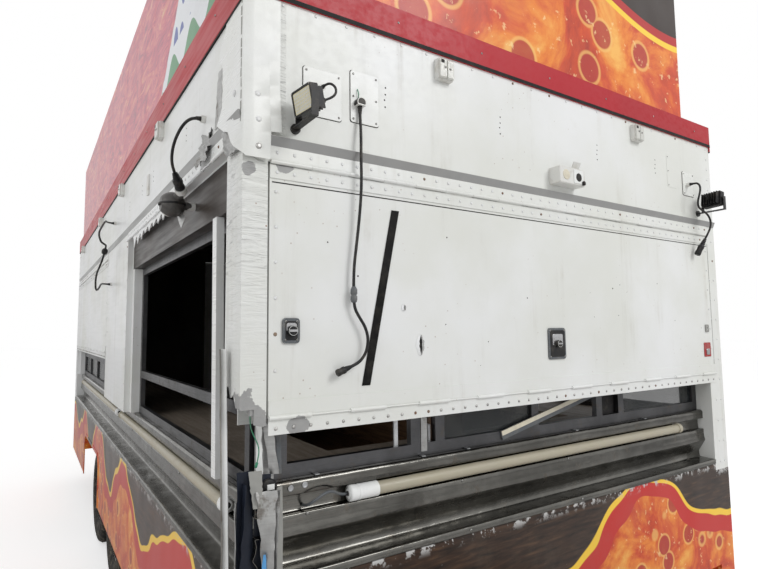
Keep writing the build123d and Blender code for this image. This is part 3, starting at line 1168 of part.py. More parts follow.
# The round socket on the side wall: its middle as distance behind the front wall, out of the wall, height
SOCKET_PLACE = (600.0, 48.0, 1988.0)
SOCKET_R = 44.0
SOCKET_HALF = 38.0
SOCKET_FLAT_R = 24.0
SOCKET_NECK_R = 20.0
SOCKET_RING_L = 16.0
SOCKET_STEM_R = 14.0
with BuildPart() as outlet_boxes:
    with BuildSketch(yz_plane(FRONT_X + SEAT_GAP)):
        with Locations(OUTLET_PLACE):
            RectangleRounded(OUTLET_W, OUTLET_H, OUTLET_EASE)
    extrude(amount=OUTLET_OUT)
    with BuildSketch(yz_plane(FRONT_X + SEAT_GAP)):
        for y_sign, inset, height, plate_w, plate_h in COVER_PLATES:
            with Locations((y_sign * (HALF_W - inset), height)):
                RectangleRounded(plate_w, plate_h, PLATE_EASE)
    extrude(amount=PLATE_T)
    for y_sign, inset, height, stand_out in FRONT_GLANDS:
        with BuildSketch(yz_plane(FRONT_X + SEAT_GAP)):
            with Locations((y_sign * (HALF_W - inset), height)):
                Circle(GLAND_R)
        extrude(amount=stand_out - SEAT_GAP)
    with BuildSketch(yz_plane(FRONT_X + SEAT_GAP)):
        with Locations((HOOD_PLACE[0] - HALF_W, HOOD_PLACE[1])):
            Circle(HOOD_R)
            with Locations((0, -CORD_HOLE_DROP - HOOD_R)):
                Rectangle(2 * HOOD_R, 2 * HOOD_R, mode=Mode.SUBTRACT)
    extrude(amount=HOOD_H)
    for place, height, stand_out in SIDE_GLANDS:
        with BuildSketch(side_plane(-SEAT_GAP)):
            with Locations((back(place), height)):
                Circle(GLAND_R + 2)
        extrude(amount=stand_out - SEAT_GAP)
    socket_middle = Vector(back(SOCKET_PLACE[0]), -HALF_W - SOCKET_PLACE[1], SOCKET_PLACE[2])
    with BuildSketch(Plane(origin=socket_middle, x_dir=(1, 0, 0), z_dir=(0, 0, 1))):
        with BuildLine():
            Line((0, -SOCKET_HALF), (SOCKET_FLAT_R, -SOCKET_HALF))
            ThreePointArc((SOCKET_FLAT_R, -SOCKET_HALF), (SOCKET_R, 0), (SOCKET_FLAT_R, SOCKET_HALF))
            Line((SOCKET_FLAT_R, SOCKET_HALF), (0, SOCKET_HALF))
            Line((0, SOCKET_HALF), (0, -SOCKET_HALF))
        make_face()
    revolve(axis=Axis(socket_middle, (0, 1, 0)))
    with BuildSketch(side_plane(REBATE_D - SEAT_GAP)):
        with Locations((socket_middle.X, socket_middle.Z)):
            Circle(SOCKET_STEM_R)
    extrude(amount=REBATE_D + SOCKET_PLACE[1] - SOCKET_HALF / 2)
    plug_run = (Vector(*side_end[1]) - Vector(*side_end[0])).normalized()
    ring_start = Vector(*side_end[1]) + plug_run * SIDE_PLUG_L
    neck_start = ring_start + plug_run * (SOCKET_RING_L - 1)
    with BuildSketch(Plane(origin=ring_start, z_dir=plug_run)):
        Circle(SOCKET_NECK_R)
    extrude(amount=SOCKET_RING_L)
    with BuildSketch(Plane(origin=neck_start, z_dir=socket_middle - neck_start)):
        Circle(SOCKET_NECK_R - 4)
    extrude(amount=(socket_middle - neck_start).length)
outlet_boxes.part.label = "outlet_boxes"
export_step(outlet_boxes.part, "parts/outlet_boxes.step")

# Flood lamps at the two front corners: bezel, finned housing, yoke and foot. Each faces its own side.
FLOOD_OUT = 77.0
FLOOD_INSET = 136.0
FLOOD_Z = 2152.0
FLOOD_W = 90.0
FLOOD_H = 70.0
FLOOD_BODY = 22.0
FLOOD_FIN = 20.0
FLOOD_FIN_T = 3.5
FLOOD_FIN_PITCH = 12.0
FLOOD_FINS = 7
FLOOD_BEZEL = 6.0
FLOOD_BEZEL_T = 3.0
FLOOD_EASE = 6.0
FLOOD_GLAND_R = 7.0
FLOOD_GLAND_L = 40.0
FLOOD_TILT = 10.5
FLOOD_ROLL = 8.5
YOKE_T = 4.0
YOKE_W = 20.0
YOKE_DROP = 54.0
YOKE_CLEAR = 6.0
YOKE_EAR_RISE = 10.0
YOKE_PIN_R = 5.0
YOKE_FOOT_R = 14.0
YOKE_FOOT_T = 8.0
with BuildPart() as near_flood:
    lamp_origin = (FRONT_X + FLOOD_OUT, FLOOD_INSET - HALF_W, FLOOD_Z)
    lamp_face = Plane(origin=lamp_origin, x_dir=(1, 0, 0), z_dir=(0, -1, 0)).rotated((FLOOD_TILT, 0, FLOOD_ROLL))
    with BuildSketch(lamp_face):
        RectangleRounded(FLOOD_W, FLOOD_H, FLOOD_EASE)
    extrude(amount=-FLOOD_BODY)
    with BuildSketch(lamp_face):
        RectangleRounded(FLOOD_W, FLOOD_H, FLOOD_EASE)
        RectangleRounded(FLOOD_W - 2 * FLOOD_BEZEL, FLOOD_H - 2 * FLOOD_BEZEL, FLOOD_EASE - 2, mode=Mode.SUBTRACT)
    extrude(amount=FLOOD_BEZEL_T)
    with BuildSketch(lamp_face.offset(-FLOOD_BODY)):
        with GridLocations(FLOOD_FIN_PITCH, 0, FLOOD_FINS, 1):
            Rectangle(FLOOD_FIN_T, FLOOD_H - 2 * FLOOD_BEZEL)
    extrude(amount=-FLOOD_FIN)
    lead_end = on_front(FLOOD_CORD, -1)[-2:]
    lead_run = Vector(*lead_end[1]) - Vector(*lead_end[0])
    with BuildSketch(Plane(origin=lead_end[1], z_dir=lead_run)):
        Circle(FLOOD_GLAND_R)
    extrude(amount=FLOOD_GLAND_L)
    yoke_y = FLOOD_INSET + FLOOD_BODY / 2 - HALF_W
    yoke_reach = FLOOD_W / 2 + YOKE_CLEAR
    with BuildSketch(Plane.XY.offset(FLOOD_Z - YOKE_DROP)):
        rect(FRONT_X + SEAT_GAP, FRONT_X + FLOOD_OUT + yoke_reach, yoke_y - YOKE_W / 2, yoke_y + YOKE_W / 2)
    extrude(amount=YOKE_T)
    for ear_x in (FRONT_X + FLOOD_OUT - yoke_reach, FRONT_X + FLOOD_OUT + yoke_reach - YOKE_T):
        with BuildSketch(Plane.XY.offset(FLOOD_Z - YOKE_DROP)):
            rect(ear_x, ear_x + YOKE_T, yoke_y - YOKE_W / 2, yoke_y + YOKE_W / 2)
        extrude(amount=YOKE_DROP + YOKE_EAR_RISE)
    with BuildSketch(yz_plane(FRONT_X + FLOOD_OUT - yoke_reach)):
        with Locations((yoke_y, FLOOD_Z)):
            Circle(YOKE_PIN_R)
    extrude(amount=2 * yoke_reach)
    with BuildSketch(yz_plane(FRONT_X + SEAT_GAP)):
        with Locations((yoke_y, FLOOD_Z - YOKE_DROP + YOKE_T / 2)):
            Circle(YOKE_FOOT_R)
    extrude(amount=YOKE_FOOT_T)
with BuildPart() as flood_lamps:
    add(near_flood.part)
    add(mirror(near_flood.part, about=Plane.XZ, mode=Mode.PRIVATE))
flood_lamps.part.label = "flood_lamps"
export_step(flood_lamps.part, "parts/flood_lamps.step")


def bend_radii(points):
    """Largest even bend at each inner point: 0.45 of the shorter run over the tangent of half the turn."""
    radii = []
    for before, here, after in zip(points, points[1:], points[2:]):
        arriving = Vector(*here) - Vector(*before)
        leaving = Vector(*after) - Vector(*here)
        half_turn = math.radians(arriving.get_angle(leaving)) / 2
        radii.append(0.45 * min(arriving.length, leaving.length) / math.tan(half_turn))
    return radii


def cord_tube(points, diameter):
    """A free cord as a round tube that follows a route with eased corners."""
    radii = bend_radii(points)
    with BuildPart() as cord:
        with BuildLine() as route:
            FilletPolyline(*points, radius=radii)
        with BuildSketch(Plane(origin=points[0], z_dir=Vector(*points[1]) - Vector(*points[0]))):
            Circle(diameter / 2)
        sweep()
    length = sum(edge.length for edge in route.edges())
    section = math.pi * diameter ** 2 / 4
    print("cord length", round(length, 1), "tightest bend", round(min(radii), 1),
          "volume over section times length", round(cord.part.volume / section / length, 4))
    return cord.part


def cord_end(start, towards, radius, length):
    """A plug or connector in line with a cord's last run, face to face with the cord's end."""
    run = (Vector(*start) - Vector(*towards)).normalized()
    with BuildPart() as body:
        with BuildSketch(Plane(origin=start, z_dir=run)):
            Circle(radius)
        extrude(amount=length)
        chamfer(body.faces().sort_by(Axis(start, run))[-1].edges(), radius * 0.25)
    return body.part


# columns: name, the routes in the node, diameter
CORDS = [
    ("cord_front", [on_front(FRONT_CORD, -1)], FRONT_CORD_D),
    ("cord_flood_near", [on_front(FLOOD_CORD, -1)], FLOOD_CORD_D),
    ("cord_far_corner", [on_front(FAR_CORD, 1)], FAR_CORD_D),
    ("cord_belt", [on_front(BELT_CORD, -1)], BELT_CORD_D),
    ("wire_green", [on_front(GREEN_WIRE, -1)], GREEN_WIRE_D),
    ("cord_side_near", [on_side(SIDE_CORD)], SIDE_CORD_D),
    ("cord_side_far", [on_side(LONG_CORD), on_side(LONG_CORD_TAIL)], LONG_CORD_D),
]
for cord_name, cord_routes, cord_d in CORDS:
    with BuildPart() as cord_node:
        for cord_route in cord_routes:
            add(cord_tube(cord_route, cord_d))
    cord_node.part.label = cord_name
    export_step(cord_node.part, f"parts/{cord_name}.step")

# Plugs that hang with the front awning: the front cord's sleeve and plug, and the far cord's plug
SLEEVE_R = 10.0
SLEEVE_BORE = 5.5
SLEEVE_L = 40.0
SLEEVE_LOW = 1625.0
SLEEVE_INSET = 321.8
PLUG_R = 9.0
PLUG_L = 42.0
FAR_PLUG_R = 14.0
FAR_PLUG_L = 86.0
front_end = on_front(FRONT_CORD, -1)[-2:]
far_end = on_front(FAR_CORD, 1)[-2:]
with BuildPart() as cord_front_ends:
    with BuildSketch(Plane.XY.offset(SLEEVE_LOW)):
        with Locations((FRONT_X + FRONT_CORD[8][0], SLEEVE_INSET - HALF_W)):
            Circle(SLEEVE_R)
            Circle(SLEEVE_BORE, mode=Mode.SUBTRACT)
    extrude(amount=SLEEVE_L)
    add(cord_end(front_end[1], front_end[0], PLUG_R, PLUG_L))
    add(cord_end(far_end[1], far_end[0], FAR_PLUG_R, FAR_PLUG_L))
cord_front_ends.part.label = "cord_front_ends"
export_step(cord_front_ends.part, "parts/cord_front_ends.step")

# Plugs and connectors on the trailer: the side cord's plug in its socket, the long cord's joint, the wire's joint
JOINT_R = 17.0
WIRE_JOINT_R = 4.0
WIRE_JOINT_L = 14.0
joint_start = on_side(LONG_CORD)[-1]
joint_end = on_side(LONG_CORD_TAIL)[0]
wire_end = on_front(GREEN_WIRE, -1)[-2:]
with BuildPart() as cord_ends:
    add(cord_end(side_end[1], side_end[0], SIDE_PLUG_R, SIDE_PLUG_L))
    joint_run = Vector(*joint_end) - Vector(*joint_start)
    with BuildSketch(Plane(origin=joint_start, z_dir=joint_run)):
        Circle(JOINT_R)
    extrude(amount=joint_run.length)
    add(cord_end(wire_end[1], wire_end[0], WIRE_JOINT_R, WIRE_JOINT_L))
cord_ends.part.label = "cord_ends"
export_step(cord_ends.part, "parts/cord_ends.step")

# The torn corner: a bent aluminium angle, torn sheets, the slim leaning post and a loose prop bar
ANGLE_W = 34.0
ANGLE_T = 4.0
with BuildPart() as bent_corner_angle:
    # columns: height, distance behind the front wall, gap to the side wall's face
    for height, place, off in [(640.0, 75.0, SEAT_GAP), (1500.0, 95.0, 13.0)]:
        with BuildSketch(Plane.XY.offset(height)):
            with Locations((back(place), -HALF_W - off - ANGLE_W / 2)):
                Rectangle(ANGLE_T, ANGLE_W)
                Rectangle(ANGLE_W, ANGLE_T)
    loft()
bent_corner_angle.part.label = "bent_corner_angle"
export_step(bent_corner_angle.part, "parts/bent_corner_angle.step")

LEAN_FOOT = 306.0
LEAN_HEAD = 330.0
LEAN_DEPTH = 36.0
LEAN_W = 42.0
LEAN_T = 24.0
with BuildPart() as leaning_post:
    for lean_z, lean_place in ((SILL_SIDE + SEAT_GAP, LEAN_FOOT), (HEAD_Z - SEAT_GAP, LEAN_HEAD)):
        with BuildSketch(Plane.XY.offset(lean_z)):
            with Locations((back(lean_place), LEAN_DEPTH - HALF_W)):
                Rectangle(LEAN_W, LEAN_T)
    loft()
leaning_post.part.label = "leaning_post"
export_step(leaning_post.part, "parts/leaning_post.step")

# Torn sheets under the column, and the bare frame tube behind them
TORN_SHEET_T = 3.0
CORNER_TUBE = 40.0
CORNER_TUBE_WALL = 3.0
CORNER_TUBE_X = 110.0
# columns: distance in from the side wall's face, height
TORN_FRONT_SHEET = [(44.0, 862.0), (119.7, 862.0), (119.7, 330.0), (92.0, 410.0), (97.0, 520.0), (70.0, 610.0),
                    (52.0, 700.0), (30.0, 790.0)]
# columns: distance behind the front wall, height
TORN_SIDE_PANEL = [(129.7, 862.0), (8.0, 862.0), (14.0, 760.0), (26.0, 640.0), (22.0, 520.0), (46.0, 430.0),
                   (62.0, 352.0), (129.7, 330.0)]
with BuildPart() as torn_corner_sheets:
    with BuildSketch(yz_plane(FRONT_X)):
        with BuildLine():
            Polyline(*[(inset - HALF_W, height) for inset, height in TORN_FRONT_SHEET + TORN_FRONT_SHEET[:1]])
        make_face()
    extrude(amount=-TORN_SHEET_T)
    with BuildSketch(side_plane(0)):
        with BuildLine():
            Polyline(*[(back(place), height) for place, height in TORN_SIDE_PANEL + TORN_SIDE_PANEL[:1]])
        make_face()
    extrude(amount=-TORN_SHEET_T)
    with BuildSketch(Plane.XY.offset(SKIRT_Z)):
        with Locations((back(CORNER_TUBE_X - CORNER_TUBE / 2), POST_Y - SEAT_GAP - HALF_W - CORNER_TUBE / 2)):
            Rectangle(CORNER_TUBE, CORNER_TUBE)
            Rectangle(CORNER_TUBE - 2 * CORNER_TUBE_WALL, CORNER_TUBE - 2 * CORNER_TUBE_WALL, mode=Mode.SUBTRACT)
    extrude(amount=TORN_POST_END - 4 - SKIRT_Z)
torn_corner_sheets.part.label = "torn_corner_sheets"
export_step(torn_corner_sheets.part, "parts/torn_corner_sheets.step")

# columns: place across the front, height over the sill
PROP_OUTLINE = [(-240.0, 8.0), (400.0, 145.0), (394.0, 175.0), (-246.0, 38.0)]
PROP_T = 6.0
with BuildPart() as prop_bar:
    with BuildSketch(yz_plane(back(WINDOW_DEPTH - SEAT_GAP))):
        with BuildLine():
            Polyline(*[(place, SILL_FRONT + up) for place, up in PROP_OUTLINE + PROP_OUTLINE[:1]])
        make_face()
    extrude(amount=PROP_T)
prop_bar.part.label = "prop_bar"
export_step(prop_bar.part, "parts/prop_bar.step")

# Entry door with its hinges and handle
HANDLE_W = 70.0
HANDLE_H = 120.0
HANDLE_EASE = 10.0
HANDLE_OUT = 24.0
HANDLE_INSET = 70.0
HANDLE_RISE = 900.0
with BuildPart() as entry_door:
    with BuildSketch(yz_plane(REAR_X)):
        rect(DOOR_Y - DOOR_W / 2, DOOR_Y + DOOR_W / 2, DOOR_SILL, DOOR_SILL + DOOR_H)
    extrude(amount=DOOR_T)
    with BuildSketch(yz_plane(REAR_X)):
        with Locations((DOOR_Y - DOOR_W / 2 + HANDLE_INSET, DOOR_SILL + HANDLE_RISE)):
            RectangleRounded(HANDLE_W, HANDLE_H, HANDLE_EASE)
    extrude(amount=-HANDLE_OUT)
    for hinge_z in DOOR_HINGES:
        with BuildSketch(Plane.XY.offset(hinge_z + DOOR_BARREL_H + KNUCKLE_GAP)):
            rect(REAR_X - DOOR_LEAF_T, REAR_X, DOOR_EDGE - DOOR_LEAF_W, DOOR_EDGE)
            with Locations((DOOR_PIN_X, DOOR_EDGE)):
                Circle(DOOR_BARREL_R)
                Circle(DOOR_PIN_R + SEAT_GAP, mode=Mode.SUBTRACT)
        extrude(amount=DOOR_BARREL_H - 2 * KNUCKLE_GAP)
entry_door.part.label = "entry_door"
export_step(entry_door.part, "parts/entry_door.step")
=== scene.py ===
import json
import logging
import math
import random
from dataclasses import dataclass
from enum import Enum

import bpy
from mathutils import Matrix, Vector
from mathutils import noise as field_noise

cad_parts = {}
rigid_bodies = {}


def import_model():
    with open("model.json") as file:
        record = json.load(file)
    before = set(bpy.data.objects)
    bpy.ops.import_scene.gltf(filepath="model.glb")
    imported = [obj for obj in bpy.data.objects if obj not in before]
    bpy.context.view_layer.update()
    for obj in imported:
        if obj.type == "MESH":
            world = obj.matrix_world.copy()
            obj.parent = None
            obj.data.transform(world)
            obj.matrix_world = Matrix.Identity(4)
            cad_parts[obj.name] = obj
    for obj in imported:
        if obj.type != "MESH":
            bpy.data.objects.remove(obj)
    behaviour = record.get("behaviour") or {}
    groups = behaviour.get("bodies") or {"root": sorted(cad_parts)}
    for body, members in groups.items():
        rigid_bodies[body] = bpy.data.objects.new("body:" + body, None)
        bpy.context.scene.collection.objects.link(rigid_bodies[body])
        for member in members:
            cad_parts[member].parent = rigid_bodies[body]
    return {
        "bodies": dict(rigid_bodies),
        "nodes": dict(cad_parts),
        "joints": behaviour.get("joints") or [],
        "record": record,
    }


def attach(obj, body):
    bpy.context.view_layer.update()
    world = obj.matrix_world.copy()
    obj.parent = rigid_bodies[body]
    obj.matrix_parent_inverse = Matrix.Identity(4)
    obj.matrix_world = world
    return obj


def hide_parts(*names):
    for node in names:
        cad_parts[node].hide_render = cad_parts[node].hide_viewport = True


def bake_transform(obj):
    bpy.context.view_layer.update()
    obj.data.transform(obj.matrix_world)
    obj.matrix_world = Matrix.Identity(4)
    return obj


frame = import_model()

# Dresses the food trailer: panels, trim, belts, lamps, cords, running gear and its torn front corner.
# Metres, +X towards the hitch, +Y to the trailer's left, origin on the ground under the middle.

LOG = logging.getLogger("trailer")
CHANCE = random.Random(20417)
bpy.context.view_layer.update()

FRONT_X, REAR_X = 2.145, -3.345
HALF_W = 1.220
ROOF_Z = 2.565
TRIM_LOW = 2.460
SILL_FRONT, SILL_SIDE = 1.143, 1.113
HINGE_FRONT, HINGE_SIDE = 1.998, 2.058

Colour = tuple[float, float, float]
Point = tuple[float, float, float]
Pair = tuple[float, float]
Socket = bpy.types.NodeSocket
Layers = tuple[Socket, Socket, Socket]


def along(distance: float) -> float:
    """Row x of a place that lies this far behind the front wall's face."""
    return FRONT_X - distance


def shade(colour: Colour, share: float) -> Colour:
    """A colour made darker or lighter by a share."""
    return tuple(share * c for c in colour)


def stand(name: str, data: bpy.types.ID) -> bpy.types.Object:
    """Put a new object with this data into the scene."""
    made = bpy.data.objects.new(name, data)
    bpy.context.scene.collection.objects.link(made)
    return made


class Shader:
    """A material's node tree, with short calls for the nodes that the finishes share."""

    def __init__(self, name: str, roughness: float = 0.5, metallic: float = 0.0, shine: float = 0.5,
                 coat: Pair = (0.0, 0.03)) -> None:
        """Start a principled material.

        Args:
            name: The material's name.
            roughness: The roughness where nothing else feeds it.
            metallic: 1 for bare metal, 0 for paint, plastic and wood.
            shine: The specular level.
            coat: The clear coat's weight and roughness.
        """
        self.material = bpy.data.materials.new(name)
        self.material.use_nodes = True
        self.tree = self.material.node_tree
        self.surface = self.tree.nodes["Principled BSDF"]
        levels = {"Roughness": roughness, "Metallic": metallic, "Specular IOR Level": shine,
                  "Coat Weight": coat[0], "Coat Roughness": coat[1]}
        for key, level in levels.items():
            self.surface.inputs[key].default_value = level
        self.place = self.node("ShaderNodeTexCoord").outputs["Object"]
        self.x, self.y, self.z = self.node("ShaderNodeSeparateXYZ", {"Vector": self.place}).outputs[:3]

    def node(self, kind: str, inputs: dict | None = None, **settings: object) -> bpy.types.Node:
        """Add a node with its settings, and a value or a socket for each named or numbered input."""
        made = self.tree.nodes.new(kind)
        for key, value in settings.items():
            setattr(made, key, value)
        for key, value in (inputs or {}).items():
            self.feed(made.inputs[key], value)
        return made

    def feed(self, socket: Socket, value: object) -> None:
        """Link a socket to the input, or set the input's own value."""
        if isinstance(value, Socket):
            self.tree.links.new(value, socket)
        elif isinstance(value, tuple) and len(value) == 3 and socket.type == "RGBA":
            socket.default_value = (*value, 1.0)
        else:
            socket.default_value = value

    def math(self, kind: str, *values: object) -> Socket:
        """One arithmetic step."""
        return self.node("ShaderNodeMath", dict(enumerate(values)), operation=kind).outputs[0]

    def sum(self, a: object, b: object) -> Socket:
        """Two numbers added."""
        return self.math("ADD", a, b)

    def less(self, a: object, b: object) -> Socket:
        """The first number less the second."""
        return self.math("SUBTRACT", a, b)

    def times(self, *shares: object) -> Socket:
        """The product of several shares: where all of them hold."""
        held = shares[0]
        for share in shares[1:]:
            held = self.math("MULTIPLY", held, share)
        return held

    def vector(self, stretch: Point, shift: Point = (0.0, 0.0, 0.0)) -> Socket:
        """Object coordinates scaled by stretch and moved by shift."""
        return self.node("ShaderNodeMapping", {"Vector": self.place, "Scale": stretch, "Location": shift}).outputs[0]

    def noise(self, scale: float, detail: float = 4.0, rough: float = 0.55, vector: Socket | None = None,
              warp: float = 0.0) -> Socket:
        """Noise as a number, by its cells per metre, octaves, strength of the fine ones, place and distortion."""
        return self.node("ShaderNodeTexNoise", {"Vector": vector or self.place, "Scale": scale, "Detail": detail,
                                                "Roughness": rough, "Distortion": warp}).outputs[0]

    def cells(self, scale: float, vector: Socket | None = None, randomness: float = 1.0) -> Socket:
        """The distance from the middles of scattered cells, for specks, dots and patches."""
        return self.node("ShaderNodeTexVoronoi", {"Vector": vector or self.place, "Scale": scale,
                                                  "Randomness": randomness}).outputs["Distance"]

    def band(self, value: object, low: float, high: float, start: float = 0.0, end: float = 1.0) -> Socket:
        """A number that goes smoothly from start to end as value goes from low to high."""
        return self.node("ShaderNodeMapRange", {"Value": value, "From Min": low, "From Max": high, "To Min": start,
                                                "To Max": end}, interpolation_type="SMOOTHSTEP").outputs[0]

    def mix(self, share: object, a: object, b: object) -> Socket:
        """Mix two colours by a share from 0, all a, to 1, all b."""
        return self.node("ShaderNodeMix", {0: share, 6: a, 7: b}, data_type="RGBA").outputs[2]

    def lerp(self, share: object, a: object, b: object) -> Socket:
        """A number from a to b by a share."""
        return self.node("ShaderNodeMix", {0: share, 2: a, 3: b}, data_type="FLOAT").outputs[0]

    def ramp(self, value: object, stops: list[tuple[float, Colour]]) -> Socket:
        """A colour ramp through the given stops."""
        made = self.node("ShaderNodeValToRGB", {0: value})
        elements = made.color_ramp.elements
        while len(elements) < len(stops):
            elements.new(0.5)
        for element, (position, colour) in zip(elements, stops):
            element.position = position
            element.color = (*colour, 1.0)
        return made.outputs[0]

    def between(self, value: object, low: float, high: float, edge: float = 0.0004) -> Socket:
        """1 where a value lies between two limits, 0 elsewhere."""
        rise = self.band(value, low - edge, low + edge)
        return self.times(rise, self.band(value, high - edge, high + edge, 1.0, 0.0))

    def near(self, centre: Point, radius: float, ragged: float = 0.5, edge: float = 0.0015) -> Socket:
        """1 inside a ragged patch round a place, 0 outside."""
        offset = self.node("ShaderNodeVectorMath", {0: self.place, 1: centre}, operation="DISTANCE").outputs["Value"]
        torn = self.times(self.band(self.noise(13.0, 6, 0.6), 0.25, 0.75, -ragged, ragged), radius)
        return self.band(self.sum(offset, torn), radius - edge, radius + edge, 1.0, 0.0)

    def bump(self, height: object, strength: float, depth: float, under: Socket | None = None) -> Socket:
        """A normal bumped by a height, on top of another normal if one is given."""
        inputs = {"Height": height, "Strength": strength, "Distance": depth}
        return self.node("ShaderNodeBump", inputs if under is None else {**inputs, "Normal": under}).outputs[0]

    def finish(self, colour: object, roughness: object = None, normal: Socket | None = None) -> bpy.types.Material:
        """Wire the surface's colour, and its roughness and normal where they vary, and return the material."""
        for key, value in (("Base Color", colour), ("Roughness", roughness), ("Normal", normal)):
            if value is not None:
                self.feed(self.surface.inputs[key], value)
        return self.material


@dataclass(frozen=True)
class SheetPaint:
    """Factory-painted sheet metal with road grime, rust specks, scuffs and slight buckles."""

    name: str
    colour: Colour
    roughness: float = 0.38
    grime: float = 0.5
    rust: float = 0.5
    buckle: float = 0.6
    patches: tuple[tuple[Point, float], ...] = ()
    wrinkles: float = 0.0

    def layers(self, s: Shader) -> Layers:
        """The paint's colour, roughness and normal.

        Args:
            s: The shader to build in.

        Returns:
            The three sockets.
        """
        red, green, blue = self.colour
        colour = s.mix(s.band(s.noise(1.7, 6), 0.35, 0.70), self.colour, (red * 0.90, green * 0.90, blue * 0.85))
        streaks = s.noise(1.0, 6, 0.65, s.vector((16.0, 16.0, 0.9)))
        grime = s.times(s.band(streaks, 0.52, 0.78), s.band(s.noise(3.1, 8, 0.7), 0.40, 0.75))
        colour = s.mix(s.times(grime, self.grime), colour, (0.36, 0.32, 0.25))
        smear = s.band(s.noise(6.5, 10, 0.75, warp=0.8), 0.60, 0.80, 0.0, 0.30 * self.grime)
        colour = s.mix(smear, colour, (0.50, 0.45, 0.36))
        specks = s.band(s.cells(34.0), 0.045, 0.10, 1.0, 0.0)
        rust = s.times(specks, s.band(s.noise(2.3, 3), 0.50, 0.62), self.rust)
        colour = s.mix(rust, colour, (0.22, 0.085, 0.03))
        chips = s.band(s.noise(21.0, 8, 0.7), 0.735, 0.75)
        colour = s.mix(s.times(chips, 0.7 * self.rust), colour, (0.16, 0.12, 0.10))
        scratch = s.noise(1.0, 3, 0.5, s.vector((3.0, 40.0, 55.0)))
        rough = s.sum(s.sum(s.band(scratch, 0.35, 0.75, -0.06, 0.10), self.roughness), s.times(grime, 0.30))
        normal = s.bump(s.noise(1.9, 2, 0.4, s.vector((1.0, 1.0, 0.7))), self.buckle, 0.05)
        normal = s.bump(s.noise(260.0, 2), 0.05, 0.002, normal)
        if self.wrinkles:
            creases = s.noise(1.0, 3, 0.6, s.vector((9.0, 9.0, 62.0)), warp=0.5)
            normal = s.bump(s.times(creases, s.band(s.z, 1.45, 1.85, 0.15, 1.0)), self.wrinkles, 0.012, normal)
            marks = s.times(s.band(creases, 0.62, 0.66), s.band(s.z, 1.60, 1.80), s.band(s.noise(7.0, 3), 0.48, 0.60))
            colour = s.mix(s.times(marks, 0.5), colour, (0.20, 0.20, 0.20))
        normal = s.bump(s.sum(rust, chips), 0.25, 0.001, normal)
        for centre, radius in self.patches:
            bare = s.near(centre, radius)
            colour = s.mix(bare, colour, s.mix(s.noise(30.0, 5), (0.27, 0.27, 0.27), (0.40, 0.40, 0.39)))
            normal = s.bump(bare, 0.4, 0.0006, normal)
        return colour, rough, normal

    def build(self) -> bpy.types.Material:
        """Make the material."""
        s = Shader(self.name, self.roughness, shine=0.22, coat=(0.06, 0.25))
        return s.finish(*self.layers(s))


@dataclass(frozen=True)
class BareMetal:
    """Bare sheet or bar: stainless, mill aluminium, zinc or chrome, with brush lines, dents and dirt."""

    name: str
    colour: Colour
    roughness: float = 0.25
    brush: Point = (1.0, 1.0, 90.0)
    dirt: float = 0.4
    dents: float = 0.3

    def build(self) -> bpy.types.Material:
        """Make the material."""
        s = Shader(self.name, self.roughness, 1.0)
        dull = shade(self.colour, 0.55)
        colour = s.mix(s.band(s.noise(4.0, 7, 0.65), 0.30, 0.72), self.colour, dull)
        lines = s.noise(6.0, 3, 0.6, s.vector(self.brush))
        colour = s.mix(s.band(lines, 0.35, 0.70, 0.0, 0.30), colour, dull)
        spots = s.band(s.noise(17.0, 8, 0.7), 0.56, 0.70, 0.0, self.dirt)
        rough = s.sum(s.sum(s.band(lines, 0.25, 0.75, -0.05, 0.12), self.roughness), s.times(spots, 0.4))
        normal = s.bump(lines, 0.06, 0.002, s.bump(s.noise(3.2, 3), self.dents, 0.03))
        normal = s.bump(s.noise(38.0, 3), 0.5 * self.dents, 0.003, normal)
        return s.finish(s.mix(spots, colour, (0.13, 0.105, 0.08)), rough, normal)


@dataclass(frozen=True)
class Moulded:
    """Moulded plastic, rubber or lens with fine grain, dust in its hollows and faded or burnt patches."""

    name: str
    colour: Colour
    roughness: float = 0.45
    dust: float = 0.35
    grain: float = 220.0
    relief: float = 0.15
    shine: float = 0.5
    burnt: tuple[Point, float] | None = None

    def build(self) -> bpy.types.Material:
        """Make the material."""
        s = Shader(self.name, self.roughness, shine=self.shine)
        faded = tuple(min(1.0, 0.9 * c + 0.08 * max(self.colour) + 0.004) for c in self.colour)
        colour = s.mix(s.band(s.noise(9.0, 5), 0.35, 0.70), self.colour, faded)
        dusty = s.band(s.noise(26.0, 8, 0.7), 0.45, 0.72, 0.0, self.dust)
        colour = s.mix(dusty, colour, (0.42, 0.37, 0.29))
        if self.burnt:
            char = s.mix(s.noise(60.0, 6), (0.02, 0.02, 0.02), (0.11, 0.10, 0.09))
            colour = s.mix(s.near(*self.burnt, 0.35), colour, char)
        rough = s.sum(s.times(dusty, 0.4), self.roughness)
        return s.finish(colour, rough, s.bump(s.noise(self.grain, 3), self.relief, 0.0015))


@dataclass(frozen=True)
class Timber:
    """Plywood and painted boards with long grain and stains."""

    name: str
    light: Colour
    dark: Colour
    grain: Point = (0.6, 9.0, 9.0)

    def build(self) -> bpy.types.Material:
        """Make the material."""
        s = Shader(self.name, 0.62)
        rings = s.noise(5.0, 6, 0.6, s.vector(self.grain), warp=0.6)
        fine = s.noise(60.0, 4, 0.6, s.vector(self.grain))
        colour = s.mix(s.band(rings, 0.35, 0.68), self.light, self.dark)
        colour = s.mix(s.band(fine, 0.45, 0.75, 0.0, 0.45), colour, self.dark)
        stain = s.band(s.noise(2.6, 7, 0.65), 0.52, 0.70, 0.0, 0.5)
        colour = s.mix(stain, colour, shade(self.dark, 0.35))
        return s.finish(colour, s.band(fine, 0.3, 0.7, 0.50, 0.72), s.bump(fine, 0.25, 0.0015))


class FilmLayout(Enum):
    """The places that carry printed film."""

    SIGN = "sign"
    SIDE_SIGN = "side sign"
    APRON = "apron"


